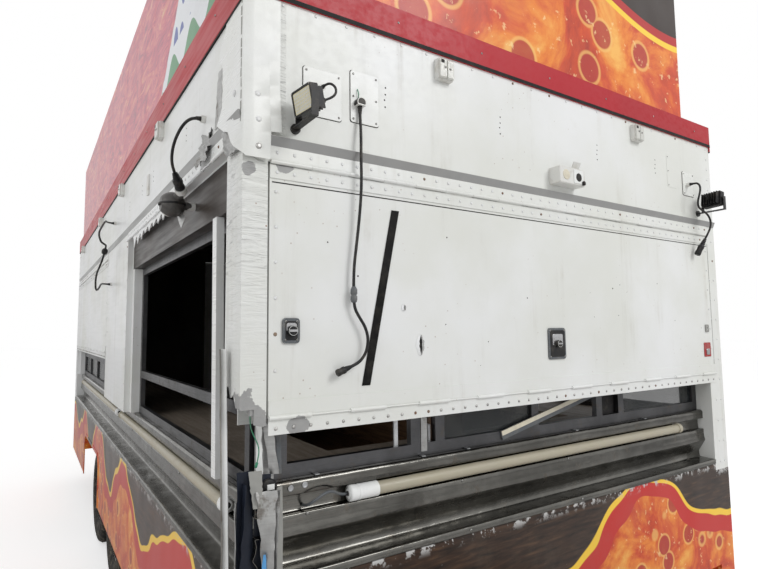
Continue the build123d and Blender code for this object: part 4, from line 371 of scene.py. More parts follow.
@dataclass(frozen=True)
class PrintedFilm:
    """Printed vinyl film with a generic design in warm colours, scuffed and slightly faded."""

    name: str
    layout: FilmLayout

    def blobs(self, s: Shader, scale: float) -> Socket:
        """Mottled orange and red with round darker patches and pale flecks."""
        base = s.ramp(s.noise(3.2 * scale, 9, 0.62, warp=0.6),
                      [(0.28, (0.32, 0.02, 0.012)), (0.44, (0.62, 0.07, 0.015)), (0.56, (0.80, 0.23, 0.03)),
                       (0.70, (0.90, 0.47, 0.10))])
        patch = s.cells(4.6 * scale, s.vector((1.0, 1.0, 1.0), (0.3, 0.1, 0.7)))
        colour = s.mix(s.band(patch, 0.27, 0.33, 0.85, 0.0), base, (0.42, 0.03, 0.02))
        rim = s.times(s.band(patch, 0.27, 0.31), s.band(patch, 0.33, 0.38, 1.0, 0.0), 0.6)
        colour = s.mix(rim, colour, (0.90, 0.55, 0.16))
        flecks = s.band(s.noise(24.0 * scale, 4, 0.6), 0.62, 0.67)
        return s.mix(s.times(flecks, 0.55), colour, (0.95, 0.72, 0.36))

    def wave(self, s: Shader, run: Socket, rate: float, height: float) -> Socket:
        """A wave of this height along a run of the surface."""
        return s.times(s.math("SINE", s.times(run, rate)), height)

    def bands(self, s: Shader, level: Socket, colour: Socket, rows: tuple) -> Socket:
        """Colours over each other, each from a level upwards and over the width of its edge."""
        for start, edge, tone in rows:
            colour = s.mix(s.band(level, start, start + edge), colour, tone)
        return colour

    def build(self) -> bpy.types.Material:
        """Make the material."""
        s = Shader(self.name, 0.34, shine=0.25, coat=(0.06, 0.20))
        return s.finish(*self.layers(s))

    def layers(self, s: Shader) -> Layers:
        """The film's colour, roughness and normal.

        Args:
            s: The shader to build in.

        Returns:
            The three sockets.
        """
        made = {FilmLayout.SIGN: self.sign, FilmLayout.SIDE_SIGN: self.side_sign, FilmLayout.APRON: self.apron}
        grime = s.band(s.noise(2.1, 9, 0.72), 0.50, 0.80, 0.0, 0.20)
        colour = s.mix(grime, made[self.layout](s), (0.25, 0.20, 0.15))
        scuffs = s.band(s.noise(1.0, 4, 0.7, s.vector((5.0, 60.0, 60.0))), 0.70, 0.76, 0.0, 0.5)
        colour = s.mix(scuffs, colour, (0.75, 0.72, 0.66))
        rough = s.band(s.sum(grime, scuffs), 0.0, 0.9, 0.28, 0.62)
        return colour, rough, s.bump(scuffs, 0.3, 0.0006, s.bump(s.noise(1.9, 2), 0.45, 0.04))

    def sign(self, s: Shader) -> Socket:
        """Orange and red mottling under a dark wave that is edged in yellow and red."""
        level = s.sum(s.less(s.z, 3.02), self.wave(s, s.sum(s.x, s.y), 2.6, 0.13))
        return self.plain_back(s, self.bands(s, level, self.blobs(s, 1.0), (
            (0.0, 0.004, (0.92, 0.62, 0.05)), (0.030, 0.004, (0.45, 0.02, 0.02)),
            (0.075, 0.004, (0.030, 0.018, 0.014)))))

    def plain_back(self, s: Shader, print_colour: Socket) -> Socket:
        """The print on the board's outer face and bare grey framing behind it."""
        outer = s.math("MAXIMUM", *(s.band(out, face - 0.0026, face - 0.0022) for out, face in
                                    ((s.x, FRONT_X), (s.math("ABSOLUTE", s.y), HALF_W))))
        return s.mix(outer, s.mix(s.noise(5.0, 6), (0.42, 0.42, 0.41), (0.30, 0.30, 0.29)), print_colour)

    def side_sign(self, s: Shader) -> Socket:
        """Crimson and tan fibres with a pale field, blue dots and green darts at its front end."""
        fibres = s.noise(9.0, 8, 0.7, s.vector((0.5, 1.0, 1.6)), warp=1.5)
        colour = s.ramp(fibres, [(0.34, (0.26, 0.008, 0.05)), (0.48, (0.50, 0.025, 0.085)), (0.58, (0.62, 0.12, 0.11)),
                                 (0.70, (0.72, 0.42, 0.22))])
        run = s.sum(s.x, s.times(s.z, -0.9))
        pale = s.band(s.sum(run, s.band(s.noise(2.3, 4), 0.3, 0.7, -0.07, 0.07)), -1.30, -1.295)
        dots = s.cells(8.5, s.vector((1.0, 0.0, 0.62)), 0.35)
        blue = s.times(s.band(dots, 0.30, 0.33, 1.0, 0.0), s.between(s.z, 2.70, 3.17), s.band(run, -1.18, -1.175))
        darts = s.less(self.wave(s, s.x, 21.0, 0.05), s.less(s.z, 2.62))
        green = s.times(s.band(darts, 0.0, 0.004), s.band(run, -1.26, -1.255))
        field = s.mix(green, s.mix(blue, (0.72, 0.74, 0.77), (0.012, 0.045, 0.30)), (0.03, 0.22, 0.07))
        return self.plain_back(s, s.mix(pale, colour, field))

    def apron(self, s: Shader) -> Socket:
        """Dark brown planks with rising tongues of orange mottling, edged in red and yellow."""
        planks = s.noise(7.0, 6, 0.6, s.vector((1.0, 1.0, 9.0)), warp=0.4)
        ground = s.ramp(planks, [(0.30, (0.012, 0.008, 0.006)), (0.55, (0.045, 0.025, 0.016)),
                                 (0.75, (0.10, 0.055, 0.03))])
        tongue = s.sum(self.wave(s, s.sum(s.x, s.y), 5.2, 0.11), 0.68)
        level = s.sum(s.less(tongue, s.z), s.times(s.noise(1.6, 2, 0.5), 0.55))
        return self.bands(s, level, ground, ((0.205, 0.005, (0.93, 0.60, 0.05)), (0.232, 0.005, (0.55, 0.025, 0.02)),
                                             (0.330, 0.006, self.blobs(s, 1.6))))


@dataclass(frozen=True)
class DressedWall:
    """White wall sheet with printed film on its lower part, and on its inner side a dark brown lining that is darkened
    further as painted shade.
    """

    name: str
    film_top: float
    paint: SheetPaint
    film: PrintedFilm = PrintedFilm("wall_film", FilmLayout.APRON)
    inner_y: float = 1.1265
    wall: float = 0.0935
    lining: Colour = (0.045, 0.036, 0.030)

    def build(self) -> bpy.types.Material:
        """Make the material."""
        s = Shader(self.name, self.paint.roughness, shine=0.25, coat=(0.06, 0.20))
        colour, rough, normal = self.paint.layers(s)
        film_colour, film_rough, _ = self.film.layers(s)
        below = s.band(s.z, self.film_top - 0.0005, self.film_top + 0.0005, 1.0, 0.0)
        worn = s.times(s.band(s.z, self.film_top - 0.035, self.film_top), s.band(s.noise(26.0, 6, 0.7), 0.52, 0.56))
        colour = s.mix(below, colour, s.mix(worn, film_colour, (0.55, 0.55, 0.54)))
        # the inner faces: a brown lining, darkened further as painted shade
        inside = s.times(s.between(s.y, -self.inner_y, self.inner_y),
                         s.between(s.x, REAR_X + self.wall, FRONT_X - self.wall),
                         s.band(s.z, ROOF_Z - 0.022, ROOF_Z - 0.020, 1.0, 0.0))
        lining_and_painted_shade = s.mix(s.band(s.noise(2.2, 6), 0.35, 0.7), self.lining, shade(self.lining, 0.45))
        # the head of the near bay, above its opening, painted dark as shade in the lining's colours
        head = s.times(s.between(s.x, along(1.9305), along(0.1305)), s.between(s.z, 1.898, HINGE_SIDE - 0.004),
                       s.band(s.y, -HALF_W + 0.001, -HALF_W + 0.002))
        return s.finish(s.mix(s.math("MAXIMUM", inside, head), colour, lining_and_painted_shade), s.lerp(below, rough, film_rough), normal)


@dataclass(frozen=True)
class RailPaint:
    """White hinge leaves under drip rails whose downward faces are painted grey as shade."""

    name: str
    paint: SheetPaint
    grey: Colour = (0.25, 0.25, 0.245)

    def build(self) -> bpy.types.Material:
        """Make the material."""
        s = Shader(self.name, self.paint.roughness, coat=(0.15, 0.25))
        colour, rough, normal = self.paint.layers(s)
        # painted shade: the drip rails' downward faces on the front and the side are coloured grey, with an uneven
        # tone
        front, side = (s.times(there, s.between(s.z, hinge + 0.0442, hinge + 0.0698)) for there, hinge in
                       ((s.band(s.x, 2.1448, 2.1449), HINGE_FRONT),
                        (s.band(s.x, 2.1440, 2.1441, 1.0, 0.0), HINGE_SIDE)))
        painted_rail_shade = s.mix(s.noise(9.0, 6), self.grey, shade(self.grey, 1.35))
        return s.finish(s.mix(s.sum(front, side), colour, painted_rail_shade), rough, normal)


@dataclass(frozen=True)
class DarkGlass:
    """A dusty tinted pane."""

    name: str
    colour: Colour = (0.016, 0.020, 0.022)
    alpha: float = 0.62

    def build(self) -> bpy.types.Material:
        """Make the material."""
        s = Shader(self.name, 0.06)
        s.surface.inputs["Alpha"].default_value = self.alpha
        dust = s.band(s.noise(5.0, 8, 0.7), 0.45, 0.75, 0.0, 0.22)
        return s.finish(s.mix(dust, self.colour, (0.35, 0.33, 0.30)), s.band(dust, 0.0, 0.3, 0.05, 0.4))


WHITE = SheetPaint("white_panel", (0.79, 0.80, 0.80))
FINISHES = (
    WHITE,
    SheetPaint("front_white", (0.79, 0.80, 0.80), patches=(
        ((2.148, -1.060, 1.300), 0.030), ((2.148, -1.100, 1.992), 0.022))),
    SheetPaint("torn_white", (0.78, 0.79, 0.79), rust=0.9, wrinkles=0.9, patches=(
        ((2.146, -1.200, 1.315), 0.062), ((2.146, -1.150, 1.290), 0.050), ((2.146, -1.200, 1.975), 0.022),
        ((2.11, -1.221, 1.32), 0.055))),
    DressedWall("walls", 0.8646, WHITE),
    DressedWall("front_wall", 0.8946, WHITE),
    RailPaint("hinge_paint", WHITE),
    DarkGlass("dark_glass"),
    SheetPaint("bright_white", (0.84, 0.85, 0.86), 0.30, grime=0.1, rust=0.0, buckle=0.1),
    SheetPaint("primer_grey", (0.33, 0.33, 0.32), 0.55, grime=0.5, rust=0.6, buckle=0.3),
    SheetPaint("navy_sheet", (0.012, 0.016, 0.028), 0.45, grime=0.5, rust=0.3, buckle=0.8),
    SheetPaint("red_trim", (0.42, 0.008, 0.018), 0.42, grime=0.06, rust=0.05, buckle=0.3),
    SheetPaint("black_steel", (0.030, 0.030, 0.032), 0.48, grime=0.6, rust=1.0, buckle=0.1),
    Moulded("rivet_paint", (0.74, 0.75, 0.75), 0.34, dust=0.25),
    Moulded("rivet_rust", (0.19, 0.11, 0.07), 0.70, dust=0.5),
    Moulded("dark_hole", (0.010, 0.009, 0.009), 0.85, dust=0.1),
    Moulded("green_wire", (0.015, 0.20, 0.10), 0.40, dust=0.2),
    Moulded("grey_plastic", (0.10, 0.11, 0.12), 0.40, dust=0.2, shine=0.3),
    Moulded("lens_red", (0.36, 0.010, 0.012), 0.14, dust=0.25, grain=90.0, relief=0.3),
    Moulded("lens_clear", (0.60, 0.60, 0.56), 0.12, dust=0.3, grain=90.0, relief=0.3),
    Moulded("led_panel", (0.60, 0.55, 0.36), 0.30, dust=0.3),
    Moulded("foam", (0.66, 0.56, 0.28), 0.80, dust=0.4, grain=120.0, relief=0.6),
    Moulded("blue_scrap", (0.06, 0.30, 0.62), 0.45, dust=0.2),
    Moulded("black_edge", (0.004, 0.004, 0.004), 0.50, dust=0.04, shine=0.12),
    Moulded("old_cream", (0.40, 0.365, 0.27), 0.34, dust=0.6),
    Moulded("cream_plastic", (0.68, 0.63, 0.50), 0.30, dust=0.45),
    Moulded("outlet_plastic", (0.70, 0.70, 0.67), 0.42, dust=0.4, burnt=((along(0.585), -1.268, 1.985), 0.058)),
    Moulded("lamp_plastic", (0.70, 0.70, 0.67), 0.42, dust=0.5),
    Moulded("black_plastic", (0.012, 0.012, 0.013), 0.42, dust=0.12, shine=0.25),
    Moulded("tyre", (0.018, 0.017, 0.016), 0.72, dust=0.35, grain=160.0, relief=0.3, shine=0.2),
    BareMetal("scuffed_metal", (0.30, 0.29, 0.27), 0.50, (1.0, 1.0, 9.0), dirt=0.9, dents=1.0),
    BareMetal("torn_metal", (0.52, 0.52, 0.51), 0.42, (1.0, 1.0, 30.0), dirt=0.6, dents=0.8),
    # the stainless is kept dark as a painted dark reflection of its surroundings
    BareMetal("stainless", (0.185, 0.180, 0.165), 0.17, dirt=0.45, dents=0.50),
    BareMetal("sash_metal", (0.13, 0.13, 0.135), 0.34, dirt=0.5),
    BareMetal("mill_aluminium", (0.62, 0.63, 0.64), 0.34, dirt=0.45),
    BareMetal("zinc_steel", (0.50, 0.51, 0.52), 0.38, dirt=0.5),
    BareMetal("chrome_rim", (0.70, 0.70, 0.71), 0.16, dirt=0.5, dents=0.05),
    BareMetal("rivet_metal", (0.55, 0.54, 0.52), 0.35, dirt=0.5, dents=0.1),
    Timber("brown_board", (0.165, 0.105, 0.072), (0.125, 0.078, 0.052), (5.0, 5.0, 0.6)),
    Timber("dusty_board", (0.30, 0.25, 0.205), (0.20, 0.165, 0.13)),
    Timber("plywood", (0.24, 0.14, 0.075), (0.12, 0.065, 0.035)),
    PrintedFilm("sign_print", FilmLayout.SIGN),
    PrintedFilm("side_print", FilmLayout.SIDE_SIGN),
)


class Finishes:
    """Every material of the trailer, made once and handed out by name."""

    table = {finish.name: finish for finish in FINISHES}
    made: dict[str, bpy.types.Material] = {}

    @classmethod
    def get(cls, name: str) -> bpy.types.Material:
        """The material of that name, made at its first use."""
        if name not in cls.made:
            cls.made[name] = cls.table[name].build()
        return cls.made[name]


@dataclass
class Studio:
    """The camera at the photograph's angle, the plain floor, and soft light."""

    place: Point = (3.486, -1.670, 1.543)
    yaw: float = 32.96
    pitch: float = 4.90
    roll: float = -0.598
    lens: float = 25.59
    sensor: float = 36.0
    reach: float = 60.0
    dim: float = 0.52

    def camera(self) -> None:
        """Stand the camera where the photograph was taken from."""
        data = bpy.data.cameras.new("camera")
        data.lens, data.sensor_width = self.lens, self.sensor
        data.clip_start, data.clip_end = 0.02, 300.0
        camera = stand("camera", data)
        yaw, pitch, roll = (math.radians(a) for a in (self.yaw, self.pitch, self.roll))
        ahead = Vector((-math.cos(yaw) * math.cos(pitch), math.sin(yaw) * math.cos(pitch), math.sin(pitch)))
        right = ahead.cross(Vector((0.0, 0.0, 1.0))).normalized()
        above = right.cross(ahead)
        across = math.cos(roll) * right + math.sin(roll) * above
        upward = math.cos(roll) * above - math.sin(roll) * right
        camera.matrix_world = Matrix.Translation(self.place) @ Matrix((across, upward, -ahead)).transposed().to_4x4()
        bpy.context.scene.camera = camera

    def floor(self) -> None:
        """Lay a pale floor that keeps the shadow and is white to the camera elsewhere."""
        data = bpy.data.meshes.new("floor")
        corners = [(-self.reach, -self.reach, 0), (self.reach, -self.reach, 0), (self.reach, self.reach, 0),
                   (-self.reach, self.reach, 0)]
        data.from_pydata(corners, [], [(0, 1, 2, 3)])
        s = Shader("floor", 0.9)
        s.feed(s.surface.inputs["Emission Color"], (1.0, 1.0, 1.0))
        rays = s.node("ShaderNodeLightPath").outputs["Is Camera Ray"]
        s.feed(s.surface.inputs["Emission Strength"], s.lerp(rays, 0.0, self.dim))
        data.materials.append(s.finish(s.mix(s.noise(0.8, 3), (0.84, 0.84, 0.84), (0.81, 0.81, 0.81))))
        stand("floor", data)

    def light(self) -> None:
        """An even pale sky with one broad lamp from the front and a weaker one from the side."""
        world = bpy.data.worlds.new("sky")
        world.use_nodes = True
        nodes, links = world.node_tree.nodes, world.node_tree.links
        rays = nodes.new("ShaderNodeLightPath").outputs
        shown = rays["Is Camera Ray"]
        for kind in ("Is Transmission Ray", "Is Glossy Ray"):
            most = nodes.new("ShaderNodeMath")
            most.operation = "MAXIMUM"
            links.new(shown, most.inputs[0])
            links.new(rays[kind], most.inputs[1])
            shown = most.outputs[0]
        level = nodes.new("ShaderNodeMapRange")
        level.inputs["To Min"].default_value = self.dim
        links.new(shown, level.inputs["Value"])
        links.new(level.outputs[0], nodes["Background"].inputs["Strength"])
        nodes["Background"].inputs["Color"].default_value = (1.0, 1.0, 1.0, 1.0)
        bpy.context.scene.world = world
        # columns: name, place, aim, size, power
        for name, place, aim, size, power in (("key", (9.0, 3.0, 7.0), (0.5, 0.0, 1.3), 4.0, 400.0),
                                              ("fill", (3.0, -9.0, 5.0), (-0.5, 0.0, 1.2), 6.0, 200.0)):
            data = bpy.data.lights.new(name, "AREA")
            data.size, data.energy = size, power
            lamp = stand(name, data)
            lamp.location = place
            lamp.rotation_euler = (Vector(aim) - Vector(place)).to_track_quat("-Z", "Y").to_euler()

    def build(self) -> None:
        """Set the view transform, the camera, the floor and the light."""
        bpy.context.scene.view_settings.view_transform = "Standard"
        self.camera()
        self.floor()
        self.light()


def placed(origin: Point, across: Point, upward: Point = (0.0, 0.0, 1.0)) -> Matrix:
    """A frame whose local x runs across, local y upward, and local z out of the surface."""
    x = Vector(across).normalized()
    z = x.cross(Vector(upward)).normalized()
    return Matrix.Translation(origin) @ Matrix((x, z.cross(x), z)).transposed().to_4x4()


def shifted(frame: Matrix, u: float, v: float, out: float = 0.0) -> Matrix:
    """A frame moved across, upward and out of its surface."""
    return frame @ Matrix.Translation((u, v, out))


def turned(frame: Matrix, degrees: float, axis: str) -> Matrix:
    """A frame turned about one of its own axes."""
    return frame @ Matrix.Rotation(math.radians(degrees), 4, axis)


FRONT = placed((FRONT_X, 0.0, 0.0), (0, 1, 0))
RIGHT = placed((0.0, -HALF_W, 0.0), (1, 0, 0))
LEFT = placed((0.0, HALF_W, 0.0), (-1, 0, 0))
REAR = placed((REAR_X, 0.0, 0.0), (0, -1, 0))
ROW = Matrix.Identity(4)
SIDES = ((RIGHT, 1), (LEFT, -1))


class Maker:
    """Collects the faces of one piece, each with its finish, and makes a mesh that rides on a body."""

    def __init__(self, name: str, body: str = "trailer", slot: str = "white_panel") -> None:
        """Start an empty piece that rides on a body, and keep the name of a material slot that nothing reads."""
        self.name, self.body, self.slot = name, body, slot
        self.points: list[Vector] = []
        self.faces: list[tuple[int, ...]] = []
        self.tones: list[int] = []
        self.smooth: list[bool] = []
        self.finishes: list[str] = []

    def put(self, frame: Matrix, points: list[Point]) -> list[int]:
        """Add points given in a frame and return their numbers."""
        first = len(self.points)
        self.points.extend(frame @ Vector(p) for p in points)
        return list(range(first, len(self.points)))

    def face(self, numbers: list[int], finish: str, smooth: bool = False) -> None:
        """Add one face over numbered points."""
        if finish not in self.finishes:
            self.finishes.append(finish)
        self.faces.append(tuple(numbers))
        self.tones.append(self.finishes.index(finish))
        self.smooth.append(smooth)

    def skin(self, frame: Matrix, rings: list[list[Point]], finish: str, closed: bool = True,
             caps: bool = True, smooth: bool = True) -> None:
        """Join rings of equally many points with quads.

        Args:
            frame: The frame that the points are given in.
            rings: The rings, in order.
            finish: The faces' finish.
            closed: Whether each ring closes on itself.
            caps: Whether the first and last ring are filled.
            smooth: Whether the quads are shaded smooth.
        """
        numbered = [self.put(frame, ring) for ring in rings]
        count = len(numbered[0])
        for low, high in zip(numbered, numbered[1:]):
            for i in range(count if closed else count - 1):
                j = (i + 1) % count
                self.face([low[i], low[j], high[j], high[i]], finish, smooth)
        if caps and closed:
            self.face(numbered[0][::-1], finish)
            self.face(numbered[-1], finish)

    def plate(self, frame: Matrix, outline: list[Pair], low: float, high: float, finish: str,
              ease: float = 0.0012) -> None:
        """A flat plate with eased edges, from an outline in the frame's x and y, between two heights."""
        cx, cy = (sum(corner[i] for corner in outline) / len(outline) for i in (0, 1))
        inner = []
        for u, v in outline:
            reach = max(math.hypot(u - cx, v - cy), 1e-6)
            share = 1 - min(0.45, 1.3 * ease / reach)
            inner.append((cx + (u - cx) * share, cy + (v - cy) * share, high))
        rings = [[(u, v, level) for u, v in outline] for level in (low, high - ease)]
        self.skin(frame, rings + [inner], finish, smooth=False)

    def slab(self, frame: Matrix, u0: float, u1: float, v0: float, v1: float, low: float, high: float,
             finish: str, ease: float = 0.0012, corner: float = 0.0) -> None:
        """A rectangular plate with eased edges and, where wanted, rounded corners."""
        outline = [(u0, v0), (u1, v0), (u1, v1), (u0, v1)]
        if corner > 0:
            turns = ((u1 - corner, v0 + corner, -90), (u1 - corner, v1 - corner, 0), (u0 + corner, v1 - corner, 90),
                     (u0 + corner, v0 + corner, 180))
            outline = [(cu + corner * math.cos(math.radians(start + 22.5 * step)),
                        cv + corner * math.sin(math.radians(start + 22.5 * step)))
                       for cu, cv, start in turns for step in range(5)]
        self.plate(frame, outline, low, high, finish, ease)

    def slabs(self, frame: Matrix, *rows: tuple) -> None:
        """Several slabs on one surface, each a row of slab's values from u0 on."""
        for row in rows:
            self.slab(frame, *row)

    def pad(self, frame: Matrix, middle: Pair, half: Pair, *rest: object) -> None:
        """A slab about its middle, by its half width and half height, then slab's values from low on."""
        (u, v), (a, b) = middle, half
        self.slab(frame, u - a, u + a, v - b, v + b, *rest)

    def lathe(self, frame: Matrix, profile: list[Pair], finish: str, sides: int = 24, caps: bool = True) -> None:
        """Turn a profile of radius and height about the frame's z axis."""
        turns = [(math.cos(2 * math.pi * i / sides), math.sin(2 * math.pi * i / sides)) for i in range(sides)]
        self.skin(frame, [[(r * c, r * s, h) for c, s in turns] for r, h in profile], finish, caps=caps)

    def dome(self, frame: Matrix, u: float, v: float, out: float, radius: float, height: float, finish: str,
             sides: int = 8) -> None:
        """A rivet or screw head on a surface."""
        profile = [(radius, out), (0.82 * radius, out + 0.62 * height), (0.42 * radius, out + height)]
        self.lathe(shifted(frame, u, v), profile, finish, sides)

    def holes(self, frame: Matrix, places: list[Pair]) -> None:
        """Small empty screw holes."""
        for u, v in places:
            self.dome(frame, u, v, 0.0, 0.0030, 0.0008, "dark_hole", 6)

    def tube(self, path: list[Point], radius: float, finish: str, sides: int = 10) -> None:
        """A round bar or cord along a path of points in the row frame."""
        points = [Vector(p) for p in path]
        across = (points[1] - points[0]).normalized().orthogonal().normalized()
        rings = []
        for index, point in enumerate(points):
            ahead = (points[min(index + 1, len(points) - 1)] - points[max(index - 1, 0)]).normalized()
            across = (across - ahead * across.dot(ahead)).normalized()
            other = ahead.cross(across)
            rings.append([point + radius * (math.cos(a) * across + math.sin(a) * other)
                          for a in (2 * math.pi * i / sides for i in range(sides))])
        self.skin(ROW, rings, finish)

    def sheet(self, frame: Matrix, rows: list[list[Point]], thick: float, finish: str) -> None:
        """A thin bent sheet from a grid of points, with a back face and edges."""
        count, width = len(rows), len(rows[0])
        front = [[frame @ Vector(p) for p in row] for row in rows]
        behind = []
        for i in range(count):
            line = []
            for j in range(width):
                down = front[min(i + 1, count - 1)][j] - front[max(i - 1, 0)][j]
                over = front[i][min(j + 1, width - 1)] - front[i][max(j - 1, 0)]
                normal = over.cross(down)
                normal = normal.normalized() if normal.length > 1e-12 else Vector((0, 0, 1))
                line.append(front[i][j] + normal * thick)
            behind.append(line)
        self.skin(ROW, front, finish, closed=False)
        self.skin(ROW, [row[::-1] for row in behind], finish, closed=False)
        rim = [(0, j) for j in range(width)] + [(i, width - 1) for i in range(1, count)]
        rim += [(count - 1, j) for j in range(width - 2, -1, -1)] + [(i, 0) for i in range(count - 2, 0, -1)]
        self.skin(ROW, [[side[i][j] for i, j in rim] for side in (front, behind)], finish, caps=False, smooth=False)

    def rivets(self, frame: Matrix, start: Pair, end: Pair, out: float, pitch: float = 0.05,
               finish: str = "rivet_paint") -> None:
        """A row of rivets between two places on a surface, a few of them rusted or knocked."""
        count = max(1, round(math.dist(start, end) / pitch))
        for index in range(count + 1):
            u, v = (a + (b - a) * index / count for a, b in zip(start, end))
            tone = "rivet_rust" if CHANCE.random() < 0.10 else finish
            self.dome(frame, u, v, out, 0.0052 * CHANCE.uniform(0.92, 1.06), 0.0028, tone)

    def screw(self, frame: Matrix, u: float, v: float, out: float, radius: float = 0.0045) -> None:
        """A pan-head screw with a cross recess."""
        self.dome(frame, u, v, out, radius, 0.0026, "rivet_metal", 12)
        turn = shifted(frame, u, v) @ Matrix.Rotation(CHANCE.uniform(0, 1.5), 4, "Z")
        for a, b in ((0.6, 0.14), (0.14, 0.6)):
            self.pad(turn, (0.0, 0.0), (a * radius, b * radius), out + 0.0022, out + 0.00275, "black_plastic", 0.0001)

    def done(self, *replaces: str) -> bpy.types.Object:
        """Make the object, let it ride, and hide the CAD nodes that it stands for.

        Args:
            *replaces: The CAD nodes that it replaces.

        Returns:
            The new object.
        """
        data = bpy.data.meshes.new(self.name)
        data.from_pydata(self.points, [], self.faces)
        for finish in self.finishes:
            data.materials.append(Finishes.get(finish))
        data.polygons.foreach_set("material_index", self.tones)
        data.polygons.foreach_set("use_smooth", self.smooth)
        data.update()
        piece = stand(self.name, data)
        if self.body:
            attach(piece, self.body)
        if replaces:
            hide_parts(*replaces)
        LOG.info("%s: %d faces", self.name, len(self.faces))
        return piece


@dataclass(frozen=True)
class AwningPlace:
    """Where one lifting awning hangs."""

    name: str
    frame: Matrix
    low: float
    high: float
    hinge: float = HINGE_SIDE
    height: float = 0.640
    present: bool = True


AWNING_PLACES = (
    AwningPlace("awning_front", FRONT, -1.145, 1.145, HINGE_FRONT, 0.672),
    AwningPlace("awning_right_near", RIGHT, along(1.931), along(0.135), present=False),
    AwningPlace("awning_right_rear", RIGHT, along(5.355), along(2.845)),
    AwningPlace("awning_left_near", LEFT, -along(0.135), -along(1.931)),
    AwningPlace("awning_left_rear", LEFT, -along(2.845), -along(5.355)),
)


@dataclass
class Riveting:
    """Rivets of the piano hinges, the awnings' edges and the wall seams."""

    leaf_out: float = 0.003
    leaf_row: float = 0.027
    pitch: float = 0.050
    wide_pitch: float = 0.100
    close_pitch: float = 0.056

    def hinges(self) -> None:
        """Rows on the fixed leaves and, on each awning, on its moving leaf, its ends and its lower leaf."""
        fixed = Maker("hinge_rivets")
        for place in AWNING_PLACES:
            left, right = place.low + 0.02, place.high - 0.02
            above = place.hinge + self.leaf_row
            fixed.rivets(place.frame, (left, above), (right, above), self.leaf_out, self.pitch)
            if not place.present:
                continue
            moving = Maker(f"{place.name}_rivets", place.name)
            lower = place.hinge - 0.005 - place.height
            for level, out, finish in ((place.hinge - self.leaf_row, self.leaf_out, "rivet_paint"),
                                       (lower - 0.028, self.leaf_out, "rivet_metal"),
                                       (lower + 0.030, 0.0, "rivet_paint")):
                moving.rivets(place.frame, (left, level), (right, level), out, self.pitch, finish)
            for side in (place.low + 0.018, place.high - 0.018):
                moving.rivets(place.frame, (side, lower + 0.12), (side, place.hinge - 0.08), 0.0, self.wide_pitch)
            moving.done()
        fixed.done()

    def walls(self) -> None:
        """Rows down the corner posts and along the seams of the wall skins and the trim."""
        # columns: frame, places across it, foot, top, pitch
        rows = [(FRONT, (-1.190, 1.190), 2.075, 2.445, self.close_pitch),
                (FRONT, (1.150, 1.190), 0.90, 1.97, self.wide_pitch)]
        for side, sign in SIDES:
            rows += [(side, [sign * along(d) for d in (0.020, 0.110, 5.470, 5.380)], 2.140, 2.440, self.close_pitch),
                     (side, [sign * along(d) for d in (1.96, 2.78)], 1.17, 2.03, self.wide_pitch)]
        rows.append((REAR, (-1.08, -0.36, 0.36, 1.08), 0.40, 2.44, self.wide_pitch))
        seams = Maker("seam_rivets")
        for side, places, foot, top, pitch in rows:
            for u in places:
                seams.rivets(side, (u, foot), (u, top), 0.0, pitch)
        seams.rivets(FRONT, (-1.21, 2.449), (1.21, 2.449), 0.0, self.wide_pitch)
        seams.done()

    def build(self) -> None:
        """Make all rows."""
        self.hinges()
        self.walls()


def in_line(start: Point, before: Point, back: float = 0.0) -> Matrix:
    """A frame at the end of a run whose local z goes on in the run's direction, moved back along it."""
    run = (Vector(start) - Vector(before)).normalized()
    return Matrix.Translation(start) @ shifted(run.to_track_quat("Z", "Y").to_matrix().to_4x4(), 0, 0, -back)


@dataclass(frozen=True)
class Route:
    """One free cord: its piece, the CAD node that it replaces, and what is on it."""

    name: str
    node: str
    points: tuple[Point, ...]
    diameter: float
    far_end: str
    finish: str = "black_plastic"
    slot: str = "black_plastic"
    swings: Pair | None = None
    stiffness: str = "medium"

    def end(self) -> Matrix:
        """A frame at the cord's far end, with local z onward."""
        return in_line(self.points[-1], self.points[-2])


def on_front(side: int, *points: Point) -> tuple[Point, ...]:
    """Row points of places given in millimetres out of the front wall, in from the side wall, and up."""
    return tuple((FRONT_X + out / 1000, side * (HALF_W - inset / 1000), height / 1000)
                 for out, inset, height in points)


def on_side(*points: Point) -> tuple[Point, ...]:
    """Row points of places given in millimetres behind the front wall, out of the right wall, and up."""
    return tuple((FRONT_X - behind / 1000, -HALF_W - out / 1000, height / 1000) for behind, out, height in points)


FRONT_CORD = Route("hanging_cord", "cord_front", on_front(
    -1, (12, 351, 2208), (12, 351, 2172), (20, 349, 2130), (26, 345, 2050), (26, 346, 1960), (23, 340, 1870),
    (20, 331, 1790), (19, 322, 1720), (19, 321, 1645), (19, 323.5, 1607), (20, 340, 1580), (22, 358, 1553),
    (22, 367, 1520), (21, 362, 1486), (20, 346, 1462), (20, 328, 1450), (20, 309, 1443)), 0.009, "plug",
    swings=(0.10, -0.10))
FLOOD_CORD = Route("near_flood_cord", "cord_flood_near", on_front(
    -1, (31, 217, 2227), (47, 217, 2227), (63, 225, 2228), (75, 236, 2214), (78, 235, 2193), (75, 219, 2178),
    (73, 202, 2170)), 0.007, "object")
FAR_CORD = Route("far_corner_cord", "cord_far_corner", on_front(
    1, (18, 235, 2232), (36, 235, 2232), (54, 239, 2229), (68, 245, 2214), (72, 252, 2190), (68, 258, 2162),
    (60, 258, 2136), (54, 244, 2114), (54, 216, 2102), (58, 188, 2092), (64, 166, 2072), (66, 158, 2042),
    (62, 164, 2012), (54, 175, 1986), (47, 184, 1965)), 0.009, "plug", swings=(0.07, -0.025))
